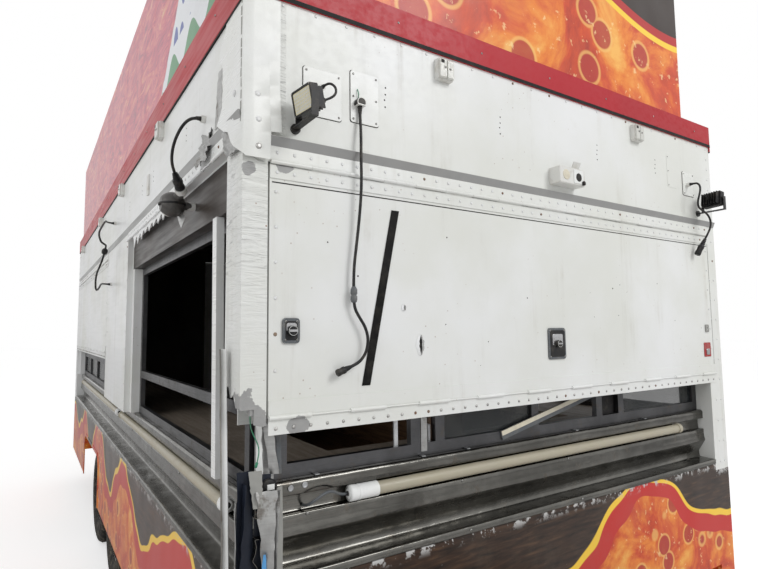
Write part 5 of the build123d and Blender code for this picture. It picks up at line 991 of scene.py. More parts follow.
BELT_CORD = Route("belt_lamp_cord", "cord_belt", on_front(
    -1, (-47.7, 340, 1078), (-47.7, 323, 1078), (-42, 302, 1085), (-30, 276, 1100), (-22, 248, 1100),
    (-22, 224, 1088), (-34, 210, 1075), (-51, 205, 1067), (-69, 204.5, 1065.5)), 0.008, "object",
    "grey_plastic", "lamp_plastic")
GREEN_WIRE = Route("green_wire", "wire_green", on_front(
    -1, (-20, 34, 1330), (-20, 34, 1302), (-20, 45, 1276), (-20, 58, 1250), (-20, 59, 1228), (-20, 54, 1210)),
    0.003, "connector", "green_wire", "green_wire", stiffness="limp")
SIDE_CORD = Route("side_cord", "cord_side_near", on_side(
    (368, 14, 2224), (368, 33, 2224), (378, 54, 2214), (400, 68, 2194), (426, 77, 2168), (447, 82, 2138),
    (458, 82, 2108), (472, 76, 2086), (491, 64, 2070)), 0.010, "plug")
LONG_CORD = Route("long_cord", "cord_side_far", on_side(
    (2490, 12, 2256), (2490, 32, 2256), (2463, 56, 2254), (2409, 66, 2250), (2343, 78, 2236), (2273, 95, 2206),
    (2211, 112, 2170), (2167, 126, 2140), (2133, 130, 2110), (2133, 120, 2076), (2165, 102, 2068),
    (2203, 88, 2070), (2240, 80, 2065.6), (2275, 80, 2053)), 0.011, "connector")
LONG_CORD_TAIL = Route("long_cord_tail", "cord_side_far", on_side(
    (2335, 80, 2031.4), (2360, 80, 2022.4), (2378, 84, 2000), (2381, 92, 1974), (2365, 102, 1946),
    (2337, 112, 1924), (2305, 120, 1900), (2283, 126, 1868), (2283, 126, 1836), (2309, 122, 1814),
    (2353, 112, 1806), (2407, 98, 1820), (2465, 84, 1842), (2523, 74, 1858), (2569, 62, 1866),
    (2597, 48, 1868), (2611, 29, 1868), (2611, 10, 1868)), 0.011, "object")


@dataclass
class Cordage:
    """The free cords of the trailer, their strain reliefs, and the plugs and joints on them."""

    fine: int = 12
    boot_l: float = 0.024

    def walk(self, route: Route) -> list[Vector]:
        """Points along the route's smooth line, close together.

        Args:
            route: The cord's route, whose points are the line's control points.

        Returns:
            The points.
        """
        data = bpy.data.curves.new(f"{route.name}_line", "CURVE")
        data.dimensions = "3D"
        data.resolution_u = self.fine
        line = data.splines.new("NURBS")
        line.points.add(len(route.points) - 1)
        for point, place in zip(line.points, route.points):
            point.co = (*place, 1.0)
        line.order_u = 3
        line.use_endpoint_u = True
        holder = stand(f"{route.name}_line", data)
        bpy.context.view_layer.update()
        read = bpy.data.meshes.new_from_object(holder)
        points = [v.co.copy() for v in read.vertices]
        bpy.data.meshes.remove(read)
        bpy.data.objects.remove(holder)
        return points

    def free(self, route: Route, *pieces: bpy.types.Object) -> None:
        path = self.walk(route)
        tube = Maker(route.name, "" if route.swings else "trailer", route.slot)
        tube.tube(path, route.diameter / 2, route.finish, 12)
        cord = tube.done(route.node)
        if route.swings:
            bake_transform(cord)

    def fitting(self, name: str, frame: Matrix, profile: list[Pair], node: str = "cord_ends", body: str = "trailer",
                finish: str = "black_plastic") -> bpy.types.Object:
        """A turned plug, sleeve or joint on a cord."""
        made = Maker(name, body, "black_plastic")
        made.lathe(frame, profile, finish, 20)
        return made.done(node)

    def ribbed(self, low: float, high: float, r_low: float, r_high: float, ribs: int) -> list[Pair]:
        """A tapered strain relief with ribs, as a turned profile."""
        return [((r_low + (r_high - r_low) * (rib + share) / ribs) * scale, low + (high - low) * (rib + share) / ribs)
                for rib in range(ribs) for share, scale in ((0.1, 1.0), (0.5, 1.0), (0.6, 0.84), (0.95, 0.84))]

    def plug(self, radius: float, length: float) -> list[Pair]:
        """A moulded plug: a ribbed neck, a grip with a waist, and its face."""
        neck = 0.38 * length
        grip = ((0.96, 0.43), (1.0, 0.55), (0.90, 0.68), (0.90, 0.74), (1.0, 0.84), (1.0, 0.96), (0.84, 1.0))
        return self.ribbed(0.0, neck, 0.52 * radius, 0.80 * radius, 4) + [(r * radius, h * length) for r, h in grip]

    def boots(self) -> None:
        """Ribbed strain reliefs where the cords leave their plates and boxes."""
        made = Maker("strain_reliefs", slot="black_plastic")
        for route in (FRONT_CORD, FLOOD_CORD, FAR_CORD, BELT_CORD, SIDE_CORD, LONG_CORD):
            run = (Vector(route.points[1]) - Vector(route.points[0])).length
            radius = route.diameter / 2
            profile = self.ribbed(0.0, min(self.boot_l, 0.9 * run), 1.7 * radius, 1.12 * radius, 4)
            made.lathe(in_line(route.points[1], route.points[0], run), profile, "black_plastic", 16)
        tail = in_line(LONG_CORD_TAIL.points[-2], LONG_CORD_TAIL.points[-1], 0.019)
        made.lathe(tail, self.ribbed(0.0, 0.017, 0.0095, 0.0062, 3), "black_plastic", 16)
        made.done()

    def build(self) -> None:
        """Make the cords with what is on them."""
        sleeve = Matrix.Translation((FRONT_X + 0.019, 0.3218 - HALF_W, 1.623))
        waist = self.fitting("cord_sleeve", sleeve, [
            (0.0055, 0.0), (0.0080, 0.002), (0.0098, 0.008), (0.0098, 0.018), (0.0078, 0.020), (0.0078, 0.023),
            (0.0098, 0.025), (0.0098, 0.037), (0.0070, 0.043), (0.0056, 0.046)],
            "cord_front_ends", "awning_front", "grey_plastic")
        plug = self.fitting("hanging_plug", FRONT_CORD.end(), self.plug(0.0105, 0.046), "cord_front_ends",
                            "awning_front")
        self.free(FRONT_CORD, waist, plug)
        self.free(FLOOD_CORD)
        self.free(FAR_CORD, self.fitting("far_corner_plug", FAR_CORD.end(), self.plug(0.014, 0.086),
                                         "cord_front_ends", "awning_front"))
        self.free(BELT_CORD)
        tip = [(0.0018, 0.0), (0.0038, 0.002), (0.0038, 0.009), (0.0030, 0.014)]
        self.free(GREEN_WIRE, self.fitting("wire_joint", GREEN_WIRE.end(), tip, finish="green_wire"))
        self.free(SIDE_CORD, self.fitting("side_plug", SIDE_CORD.end(), self.plug(0.017, 0.066)))
        start, end = LONG_CORD_TAIL.points[0], LONG_CORD.points[-1]
        reach = (Vector(start) - Vector(end)).length
        half = self.ribbed(0.0, 0.018, 0.008, 0.013, 3)
        middle = [(0.0168, 0.021), (0.017, 0.031), (0.0145, 0.032), (0.0145, 0.034), (0.017, 0.035), (0.0168, 0.043)]
        joint = half + middle + [(r, reach - h) for r, h in reversed(half)]
        self.free(LONG_CORD, self.fitting("long_cord_joint", in_line(start, end, reach), joint))
        self.free(LONG_CORD_TAIL)
        self.boots()


@dataclass
class Belt:
    """A folded stainless belt with its lamp trough, dented along its length and most near one place."""

    name: str
    node: str
    frame: Matrix
    low: float
    high: float
    sill: float
    hurt: float
    step: float = 0.040
    thick: float = 0.0016
    corner: float = 0.0022
    screw_pitch: float = 0.55
    # columns: out of the wall's face, height over the sill
    fold: tuple[Pair, ...] = (
        (-0.0750, 0.0), (-0.0530, 0.0), (-0.0450, -0.0080), (-0.0450, -0.0400), (-0.0700, -0.0400),
        (-0.0700, -0.0900), (-0.0450, -0.0900), (-0.0400, -0.1420), (-0.0730, -0.1960), (-0.0700, -0.2240),
        (0.0030, -0.2260), (0.0030, -0.2480))

    def section(self) -> list[Point]:
        """Points down the fold as out, height, and how far each may be dented."""
        points = [(*self.fold[0], 0.0)]
        for (o0, v0), (o1, v1) in zip(self.fold, self.fold[1:]):
            length = math.hypot(o1 - o0, v1 - v0)
            count = max(1, round(length / 0.016))
            for share in (self.corner / length, *(i / count for i in range(1, count)), 1 - self.corner / length):
                bulge = math.sin(math.pi * share) * min(1.0, length / 0.05)
                points.append((o0 + (o1 - o0) * share, v0 + (v1 - v0) * share, bulge))
        return points

    def build(self) -> None:
        """Make the sheet and its screws."""
        long = self.high - self.low
        count = round(long / self.step)
        rows = []
        for index in range(count + 1):
            u = self.low + long * index / count
            worse = 1.0 + 1.6 * math.exp(-abs(u - self.hurt) / 0.35)
            line = []
            for out, up, give in self.section():
                soft = field_noise.noise(Vector((u * 3.3, up * 14.0, self.low)))
                sharp = field_noise.noise(Vector((u * 12.0, up * 30.0, self.high)))
                dent = -give * worse * (0.0030 * (0.5 + soft) + 0.0011 * sharp)
                line.append((u, self.sill - 0.0003 + up + 0.25 * dent, out + dent))
            rows.append(line)
        made = Maker(self.name, slot="stainless")
        made.sheet(self.frame, rows, -self.thick, "stainless")
        for index in range(int(long / self.screw_pitch)):
            for height, out in ((-0.237, 0.0031), (-0.0955, -0.0445)):
                place = self.low + 0.09 + self.screw_pitch * index + CHANCE.uniform(-0.01, 0.01)
                made.screw(self.frame, place, self.sill + height, out)
        made.done(self.node)


@dataclass
class RoofEdge:
    """The black line under the trim band, and the red band's lap over the side walls."""

    half: float = HALF_W + 0.006
    line_h: float = 0.013
    lap: float = 0.027
    line_out: float = 0.0058

    def build(self) -> None:
        """Make the strips and the band's screws."""
        made = Maker("trim_edges", slot="red_trim")
        for end in (FRONT, REAR):
            made.slab(end, -self.half, self.half, TRIM_LOW, TRIM_LOW + self.line_h, self.line_out,
                      self.line_out + 0.0016, "black_edge", 0.0004)
        foot = TRIM_LOW - self.lap
        for side, sign in SIDES:
            ends = sorted((sign * (REAR_X - 0.006), sign * (FRONT_X + 0.006)))
            made.slabs(side, (*ends, foot + 0.005, TRIM_LOW + 0.001, 0.0002, 0.0062, "red_trim", 0.0008),
                       (*ends, foot, foot + 0.005, 0.0002, 0.0055, "black_edge", 0.0004))
            for index in range(14):
                made.screw(side, sign * (REAR_X + 0.30 + 0.38 * index), TRIM_LOW + 0.052, 0.0061, 0.004)
        for index in range(7):
            made.screw(FRONT, -1.08 + 0.36 * index, TRIM_LOW + 0.058, 0.0061, 0.004)
        made.done()


@dataclass
class Fittings:
    """Marker lamps, tail lamps, cover plates, the outlet box's faces, flood lamp faces and loose screw holes."""

    marker_z: float = 2.405
    box_out: float = 0.0483

    def marker(self, made: Maker, side: Matrix, u: float) -> None:
        """A weathered marker lamp base with its two halves, screws and an empty bulb hole."""
        at = shifted(side, u, self.marker_z)
        made.slabs(at, (-0.033, 0.033, -0.036, 0.036, 0.0003, 0.019, "lamp_plastic", 0.002, 0.006),
                   (-0.030, -0.0012, -0.033, 0.033, 0.019, 0.028, "lens_clear", 0.003, 0.004),
                   (0.0012, 0.030, -0.033, 0.033, 0.019, 0.028, "lens_clear", 0.003, 0.004))
        made.screw(at, -0.009, 0.004, 0.0278, 0.005)
        made.screw(at, 0.012, 0.001, 0.0278, 0.005)
        made.slab(at, -0.027, -0.012, 0.016, 0.028, 0.0274, 0.0284, "dark_hole", 0.0002, 0.003)

    def lamps(self) -> None:
        """All marker lamps, and the tail lamps on the rear wall."""
        made = Maker("marker_lamp_set", slot="lamp_plastic")
        for y in (-0.539, 0.569):
            self.marker(made, FRONT, y)
        for side, sign in SIDES:
            for behind in (1.047, 2.180, 3.300, 4.900):
                self.marker(made, side, sign * along(behind))
        for y in (-1.050, 1.050):
            self.marker(made, REAR, y)
            made.slab(REAR, y - 0.045, y + 0.045, 0.560, 0.740, 0.0003, 0.010, "black_plastic", 0.002, 0.018)
            for foot, top, finish in ((0.5685, 0.6200, "lens_clear"), (0.6230, 0.6765, "lens_red"),
                                      (0.6795, 0.7315, "lens_red")):
                made.slab(REAR, y - 0.0375, y + 0.0375, foot, top, 0.010, 0.026, finish, 0.005, 0.012)
        made.done("marker_lamps")

    def outlet(self, made: Maker) -> None:
        """The outlet box's face with its empty socket, its cover and the open lid."""
        face = shifted(FRONT, 0.0, 0.0, self.box_out)
        made.slab(face, -0.016, 0.130, 2.095, 2.157, 0.0, 0.0024, "lamp_plastic", 0.001, 0.005)
        made.lathe(shifted(face, 0.020, 2.127), [(0.020, 0.0022), (0.020, 0.0032), (0.017, 0.0036)],
                   "cream_plastic", 20)
        made.slab(face, 0.062, 0.120, 2.099, 2.153, 0.002, 0.0052, "bright_white", 0.0012, 0.004)
        made.lathe(shifted(face, 0.090, 2.124), [(0.0165, 0.0050), (0.0165, 0.0056), (0.0140, 0.0057)],
                   "dark_hole", 20)
        made.lathe(shifted(face, 0.116, 2.104), [(0.008, 0.003), (0.009, 0.010), (0.004, 0.013)], "dark_hole", 12)
        lid = turned(shifted(face, 0.090, 2.158, -0.012), -62, "X")
        made.slab(lid, -0.020, 0.020, 0.0, 0.004, 0.0, 0.030, "lamp_plastic", 0.001)

    def plates(self) -> None:
        """The cover plates with their screws, the outlet box's face, and short rows of empty screw holes."""
        made = Maker("plate_details", slot="lamp_plastic")
        # columns: middle across the front, height, half width, half height, screws up each side
        for y, z, half_w, half_h, count in ((-0.988, 2.221, 0.061, 0.070, 2), (-0.847, 2.239, 0.049, 0.079, 3),
                                            (0.999, 2.237, 0.050, 0.0575, 2)):
            made.pad(FRONT, (y, z), (half_w + 0.0016, half_h + 0.0016), 0.0001, 0.0009, "black_edge", 0.0002, 0.008)
            made.pad(FRONT, (y, z), (half_w, half_h), 0.0030, 0.0038, "bright_white", 0.0003, 0.008)
            for side in (-1, 1):
                for index in range(count):
                    up = (2 * index / (count - 1) - 1) * (half_h - 0.010)
                    made.screw(FRONT, y + side * (half_w - 0.009), z + up, 0.0036, 0.0038)
        hood = [(-0.869 + 0.0158 * math.cos(math.radians(a)), 2.217 + 0.0158 * math.sin(math.radians(a)))
                for a in range(-34, 215, 15)]
        made.plate(FRONT, hood, 0.0003, 0.0252, "black_plastic", 0.0035)
        made.tube([(FRONT_X + 0.006, -0.871, 2.232), (FRONT_X + 0.010, -0.872, 2.246),
                   (FRONT_X + 0.006, -0.874, 2.262)], 0.0014, "green_wire", 6)
        self.outlet(made)
        for y, z in ((-0.771, 2.264), (-0.274, 2.276), (0.289, 2.275), (0.720, 2.284)):
            made.holes(FRONT, [(y + lean, z + up) for up, lean in ((-0.032, 0.0), (-0.010, -0.002), (0.008, 0.001),
                                                                   (0.030, 0.002))])
        blank = shifted(FRONT, 0.857, 2.279)
        made.slab(blank, -0.0385, 0.0385, -0.077, 0.077, 0.0, 0.0011, "front_white", 0.0004, 0.006)
        for up in (-0.068, 0.0, 0.068):
            made.screw(blank, -0.031, up, 0.001, 0.0032)
        # old clip holes on the right side's upper wall
        made.holes(RIGHT, [(along(behind), z) for behind in (0.62, 1.23, 1.52, 1.92) for z in (2.232, 2.252, 2.278)])
        made.slab(RIGHT, along(1.365), along(1.325), 2.190, 2.290, 0.0002, 0.0065, "lamp_plastic", 0.0015, 0.006)
        made.done()

    def floods(self) -> None:
        """The lens and light-emitting grid of each flood lamp, in its bezel."""
        made = Maker("flood_faces", slot="black_plastic")
        stem = Matrix.Translation((FRONT_X + 0.077, -1.084, 2.152))
        near = turned(turned(stem, 10.5, "X"), 8.5, "Z") @ placed((0, 0, 0), (1, 0, 0))
        up, out = near.col[1].xyz, near.col[2].xyz
        up.y, out.y = -up.y, -out.y
        far = Matrix((up.cross(out), up, out)).transposed().to_4x4()
        far.translation = (near.translation.x, -near.translation.y, near.translation.z)
        for face in (near, far):
            made.slab(face, -0.0385, 0.0385, -0.0285, 0.0285, 0.0, 0.0021, "led_panel", 0.0002)
            for i in range(8):
                for j in range(6):
                    made.pad(face, (-0.0315 + 0.009 * i, -0.0225 + 0.009 * j), (0.0031, 0.0031), 0.0018, 0.0026,
                             "lens_clear", 0.0003)
            for u, v in ((-0.041, 0.031), (-0.041, -0.031), (0.041, 0.031), (0.041, -0.031)):
                made.screw(face, u, v, 0.0029, 0.002)
        made.done()

    def sockets(self) -> None:
        """The ring and the loose flap of the round socket on the side wall."""
        made = Maker("socket_details", slot="lamp_plastic")
        ring = turned(placed((along(0.600), -HALF_W - 0.048, 1.988), (1, 0, 0)), -90, "X")
        made.lathe(ring, [(0.0445, -0.004), (0.0458, -0.003), (0.0458, 0.003), (0.0445, 0.004)], "black_plastic", 28,
                   caps=False)
        rows = [[(0.11 * i / 8, -0.020 + 0.020 * j, 0.004 * math.sin(2.1 * i / 8 + j)) for j in range(3)]
                for i in range(9)]
        made.sheet(turned(shifted(RIGHT, along(0.640), 1.985, 0.020), -38, "Z"), rows, 0.0014, "torn_metal")
        made.done()

    def build(self) -> None:
        """Make the fittings."""
        self.lamps()
        self.plates()
        self.floods()
        self.sockets()


@dataclass
class AwningDress:
    """Latches, the dark strip, shadow lines, knocks and holes on the front awning."""

    half: float = 1.1385
    knocks: int = 16
    lip_steps: int = 9

    def latch(self, made: Maker, middle: Pair, half: Pair, out: float) -> None:
        """A dark latch plate with a bright dished middle, a knob and a turn handle."""
        at, (a, b) = shifted(FRONT, *middle), half
        centre = (0.0, 0.0)
        made.pad(at, centre, (a + 0.0005, b + 0.0005), 0.0002, out + 0.0006, "grey_plastic", 0.0012, 0.010)
        made.pad(at, centre, (a - 0.007, b - 0.008), out, out + 0.0020, "black_plastic", 0.0009, 0.008)
        made.pad(at, (0.0, 0.26 * b), (0.6 * a, 0.36 * b), out + 0.0015, out + 0.0034, "chrome_rim", 0.0012, 0.006)
        made.lathe(at, [(0.0135, out), (0.0135, out + 0.0130), (0.0115, out + 0.0146)], "black_plastic", 20)
        made.pad(at, centre, (0.0115, 0.0032), out + 0.014, out + 0.0168, "chrome_rim", 0.001)
        for u in (0.008 - a, a - 0.008):
            for v in (0.009 - b, b - 0.009):
                made.screw(at, u, v, out + 0.0006, 0.0036)

    def gash(self, made: Maker, y: float, z: float, height: float) -> None:
        """A torn hole with its lips bent out and a dark gap."""
        for side, finish in ((-1, "bright_white"), (1, "torn_metal")):
            rows = []
            for index in range(self.lip_steps + 1):
                share = index / self.lip_steps
                wide = height * 0.16 * math.sin(math.pi * share) * CHANCE.uniform(0.8, 1.2)
                v = z + height * (0.5 - share)
                rows.append([(y + side * (wide + 0.006), v, 0.0003), (y + side * (wide * 0.8 + 0.002), v, 0.0028),
                             (y + side * wide * 0.55, v, 0.0052 * CHANCE.uniform(0.5, 1.0) + 0.0006)])
            made.sheet(FRONT, rows[::side], 0.0006, finish)
        outline = [(y + height * 0.14 * math.cos(a) * CHANCE.uniform(0.8, 1.1), z + height * 0.46 * math.sin(a))
                   for a in (2 * math.pi * i / 12 for i in range(12))]
        made.plate(FRONT, outline, 0.0001, 0.0006, "dark_hole", 0.0001)

    def build(self) -> None:
        """Make the awning's details, which lift with it."""
        made = Maker("awning_front_details", "awning_front")
        self.latch(made, (-0.0125, 1.4885), (0.0475, 0.0575), 0.005)
        self.latch(made, (-1.0835, 1.5455), (0.0245, 0.0335), 0.006)
        # painted shadow: dark lines under the lower hinge and under the moving leaf's lower edge
        for foot, top in ((1.3222, 1.3250), (HINGE_FRONT - 0.0560, HINGE_FRONT - 0.0528)):
            made.slab(FRONT, -self.half, self.half, foot, top, 0.0001, 0.0006, "dark_hole", 0.0001)
        strip = [(-0.8625, 1.3865), (-0.8355, 1.3865), (-0.7255, 1.9095), (-0.7525, 1.9095)]
        made.plate(FRONT, strip, 0.0002, 0.0027, "black_edge", 0.0006)
        self.gash(made, -0.651, 1.498, 0.062)
        self.gash(made, -0.712, 1.612, 0.016)
        for _ in range(self.knocks):
            made.dome(FRONT, CHANCE.uniform(-1.02, 1.08), CHANCE.uniform(1.40, 1.93), 0.0,
                      CHANCE.uniform(0.0014, 0.0034), 0.0006, "dark_hole", 6)
        # at the far end: a red corner with a bright stay, and a small bracket above it
        made.slabs(FRONT, (1.058, 1.118, 1.402, 1.470, 0.0002, 0.0030, "lens_red", 0.0008, 0.004),
                   (1.072, 1.101, 1.412, 1.440, 0.0028, 0.0072, "chrome_rim", 0.0010, 0.004),
                   (1.078, 1.106, 1.520, 1.556, 0.0002, 0.0060, "primer_grey", 0.0010, 0.004))
        for z in (1.545, 1.530):
            made.screw(FRONT, 1.092, z, 0.006, 0.005)
        made.done()


@dataclass
class TornCorner:
    """The near front corner: cover angle, peeled skin, crumpled sheets and strips under the column."""

    cover_top: float = 2.455
    cover_steps: int = 22

    def ragged(self, made: Maker, frame: Matrix, start: Point, end: Point, wide: Pair, finish: str,
               crumple: float = 0.006, lean: float = 0.0, steps: int = 14, across: int = 5,
               thick: float = 0.0012) -> None:
        """A crumpled strip of sheet between two places.

        Args:
            made: The piece that it belongs to.
            frame: The frame of the two places.
            start: Upper end, as across, height and out.
            end: Lower end.
            wide: Half width at the upper and lower end.
            finish: Its finish.
            crumple: How far it is knocked about.
            lean: How far one long edge stands further out than the other.
            steps: Rows down its length.
            across: Points across it.
            thick: Its thickness.
        """
        seed = CHANCE.uniform(0, 40)
        rows = []
        for i in range(steps + 1):
            share = i / steps
            middle = [a + (b - a) * share for a, b in zip(start, end)]
            half = wide[0] + (wide[1] - wide[0]) * share
            half *= 1.0 + 0.22 * field_noise.noise(Vector((share * 9.0, seed, 0.0)))
            row = []
            for j in range(across):
                t = 2 * j / (across - 1) - 1
                shove = crumple * field_noise.noise(Vector((share * 7.0, t * 1.7 + seed, 3.0)))
                row.append((middle[0] + half * t, middle[1] + 0.5 * shove, middle[2] + shove + lean * t))
            rows.append(row)
        made.sheet(frame, rows, thick, finish)

    def cover(self) -> None:
        """The white corner cover over the upper column, torn off jagged at its foot."""
        made = Maker("corner_cover")
        # columns: behind the front, in from the side, height of the torn foot
        profile = ((-0.160, 0, 2.135), (-0.118, 0, 2.100), (-0.078, 0, 2.085), (-0.052, 0, 2.050), (-0.026, 0, 2.030),
                   (-0.004, 0, 2.006), (0.0, 0.004, 1.999), (0.0, 0.030, 1.999), (0.0, 0.072, 1.999),
                   (0.0, 0.074, 2.075), (0.0, 0.104, 2.078))
        rows = []
        for i in range(self.cover_steps + 1):
            share = i / self.cover_steps
            row = []
            for behind, inset, foot in profile:
                z = self.cover_top + (foot - self.cover_top) * share
                knock = abs(0.0022 * field_noise.noise(Vector((behind * 40, inset * 30, z * 11))))
                curl = 0.014 * max(0.0, share - 0.80) / 0.20 if behind < -0.01 else 0.0
                if behind < -0.15:
                    behind += 0.075 * field_noise.noise(Vector((1.3, 2.2, z * 17))) - 0.02 * (z > 2.33)
                over = 0.0125 * min(1.0, max(0.0, (2.19 - z) / 0.10)) if -0.02 < behind else 0.0
                row.append((FRONT_X + 0.0016 + behind + over + (knock if inset > 0 else 0.0),
                            -HALF_W - 0.0016 + inset - (knock + curl if behind < 0 else 0.0), z))
            rows.append(row)
        made.sheet(ROW, rows, -0.0011, "bright_white")
        for z, out, finish in ((2.176, 0.0030, "rivet_paint"), (2.103, 0.0122, "rivet_paint"),
                               (2.030, 0.0140, "rivet_metal")):
            made.dome(FRONT, -1.182, z, out, 0.0090, 0.006, finish, 12)
            made.dome(RIGHT, along(0.062), z + 0.016, 0.0030, 0.0090, 0.006, "rivet_paint", 12)
        # columns: upper place, lower place, half widths, crumple, steps, points across
        for start, end, wide, crumple, steps, across in (
                ((along(0.20), 2.165, 0.004), (along(0.050), 2.020, 0.012), (0.030, 0.042), 0.016, 12, 7),
                ((along(0.33), 2.165, 0.003), (along(0.345), 2.066, 0.022), (0.055, 0.060), 0.016, 10, 9),
                ((along(0.21), 2.32, 0.0010), (along(0.22), 2.15, 0.0025), (0.020, 0.032), 0.003, 12, 4)):
            self.ragged(made, RIGHT, start, end, wide, "torn_metal", crumple, steps=steps, across=across)
        for index in range(14):
            seam = 2.44 - 0.03 * index + CHANCE.uniform(-0.006, 0.006)
            made.slab(RIGHT, along(0.006), along(0.006 + CHANCE.uniform(0.002, 0.006)), seam - 0.014, seam + 0.010,
                      0.0014, 0.0046, "primer_grey", 0.0008)
        made.done()

    def lower(self) -> None:
        """Sheets and strips that hang between the torn column and the skirt."""
        made = Maker("torn_corner_pieces", slot="mill_aluminium")
        # the bare frame tube behind them
        tube = placed((along(0.090), -1.1203, 0.0), (0, 1, 0))
        made.slab(tube, -0.0198, 0.0198, 0.321, 1.285, -0.0198, 0.0198, "torn_metal", 0.002)
        # columns: upper place, lower place, half widths, finish, crumple, lean
        front = (
            ((-1.196, 1.188, -0.030), (-1.186, 0.335, -0.012), (0.020, 0.034), "navy_sheet", 0.008, 0.0),
            ((-1.150, 1.175, -0.028), (-1.140, 0.345, -0.016), (0.022, 0.030), "navy_sheet", 0.006, 0.004),
            ((-1.174, 1.190, -0.012), (-1.168, 1.098, -0.006), (0.016, 0.012), "primer_grey", 0.004, 0.003),
            ((-1.147, 1.138, -0.004), (-1.141, 0.900, 0.002), (0.027, 0.008), "torn_metal", 0.012, 0.006),
            ((-1.118, 1.135, -0.010), (-1.131, 0.860, -0.002), (0.009, 0.006), "torn_metal", 0.004, 0.006),
            ((-1.105, 1.140, -0.016), (-1.108, 0.700, -0.006), (0.010, 0.012), "primer_grey", 0.006, -0.005),
            ((-1.155, 1.322, -0.040), (-1.154, 1.150, -0.034), (0.006, 0.008), "bright_white", 0.006, 0.004),
            ((-1.134, 1.345, -0.052), (-1.110, 1.168, -0.040), (0.012, 0.011), "torn_metal", 0.003, 0.004),
            ((-1.096, 1.300, -0.050), (-1.094, 1.165, -0.046), (0.007, 0.006), "grey_plastic", 0.002, 0.0),
            ((-1.152, 0.985, 0.001), (-1.156, 0.905, 0.004), (0.003, 0.010), "blue_scrap", 0.004, 0.0),
            ((-1.158, 0.900, -0.002), (-1.150, 0.420, 0.000), (0.018, 0.010), "torn_metal", 0.008, 0.003),
            ((-1.122, 0.880, -0.001), (-1.126, 0.350, 0.001), (0.016, 0.022), "torn_white", 0.006, 0.0))
        side = (
            ((along(0.072), 0.860, 0.0005), (along(0.100), 0.345, 0.001), (0.058, 0.030), "front_wall", 0.004, 0.0),
            ((along(0.030), 1.160, -0.020), (along(0.034), 0.870, -0.004), (0.026, 0.022), "navy_sheet", 0.006, 0.0),
            ((along(0.018), 1.120, 0.002), (along(0.022), 0.640, 0.003), (0.011, 0.016), "torn_metal", 0.006, 0.004))
        for wall, strips in ((FRONT, front), (RIGHT, side)):
            for strip in strips:
                self.ragged(made, wall, *strip)
        made.lathe(shifted(FRONT, -1.133, 1.142, -0.024),
                   [(0.021, -0.004), (0.022, 0.0), (0.022, 0.004), (0.017, 0.007), (0.006, 0.0075)],
                   "black_plastic", 20)
        made.slab(FRONT, -1.140, -1.120, 1.136, 1.150, -0.018, -0.014, "bright_white", 0.001)
        made.done("torn_corner_sheets")

    def belt_ends(self) -> None:
        """Ring bolts and foam by the front belt's torn end, and loose clips along its sill."""
        made = Maker("belt_end_pieces", slot="zinc_steel")
        for y, z in ((-1.062, 1.122), (-1.020, 1.125)):
            made.lathe(shifted(FRONT, y, z, -0.0448), [(0.0085, 0.0), (0.0085, 0.0015), (0.0060, 0.0022),
                                                       (0.0050, 0.0008)], "zinc_steel", 16)
        foam = [(-1.096, 0.893), (-1.094, 0.868), (-1.070, 0.872), (-1.046, 0.884), (-1.052, 0.893)]
        made.plate(FRONT, foam, 0.0005, 0.010, "foam", 0.002)
        for y in (-0.985, -0.610, -0.420, 0.15, 0.62):
            made.slab(FRONT, y, y + 0.014, SILL_FRONT + 0.0002, SILL_FRONT + 0.0032, -0.070, -0.052, "zinc_steel",
                      0.0006)
        made.done()

    def bent_angle(self) -> None:
        """The loose corner angle, scuffed and bent towards the front at its foot."""
        made = Maker("bent_angle_sheet", slot="mill_aluminium")
        self.ragged(made, RIGHT, (along(0.090), 1.499, 0.026), (along(0.052), 0.642, 0.016), (0.016, 0.016),
                    "scuffed_metal", 0.004, 0.006, 30, 5, 0.0035)
        self.ragged(made, RIGHT, (along(0.076), 1.499, 0.021), (along(0.038), 0.642, 0.011), (0.005, 0.005),
                    "bright_white", 0.002, -0.006, 26, 3, 0.0035)
        made.done("bent_corner_angle")

    def build(self) -> None:
        """Make the corner."""
        self.cover()
        self.lower()
        self.bent_angle()
        self.belt_ends()


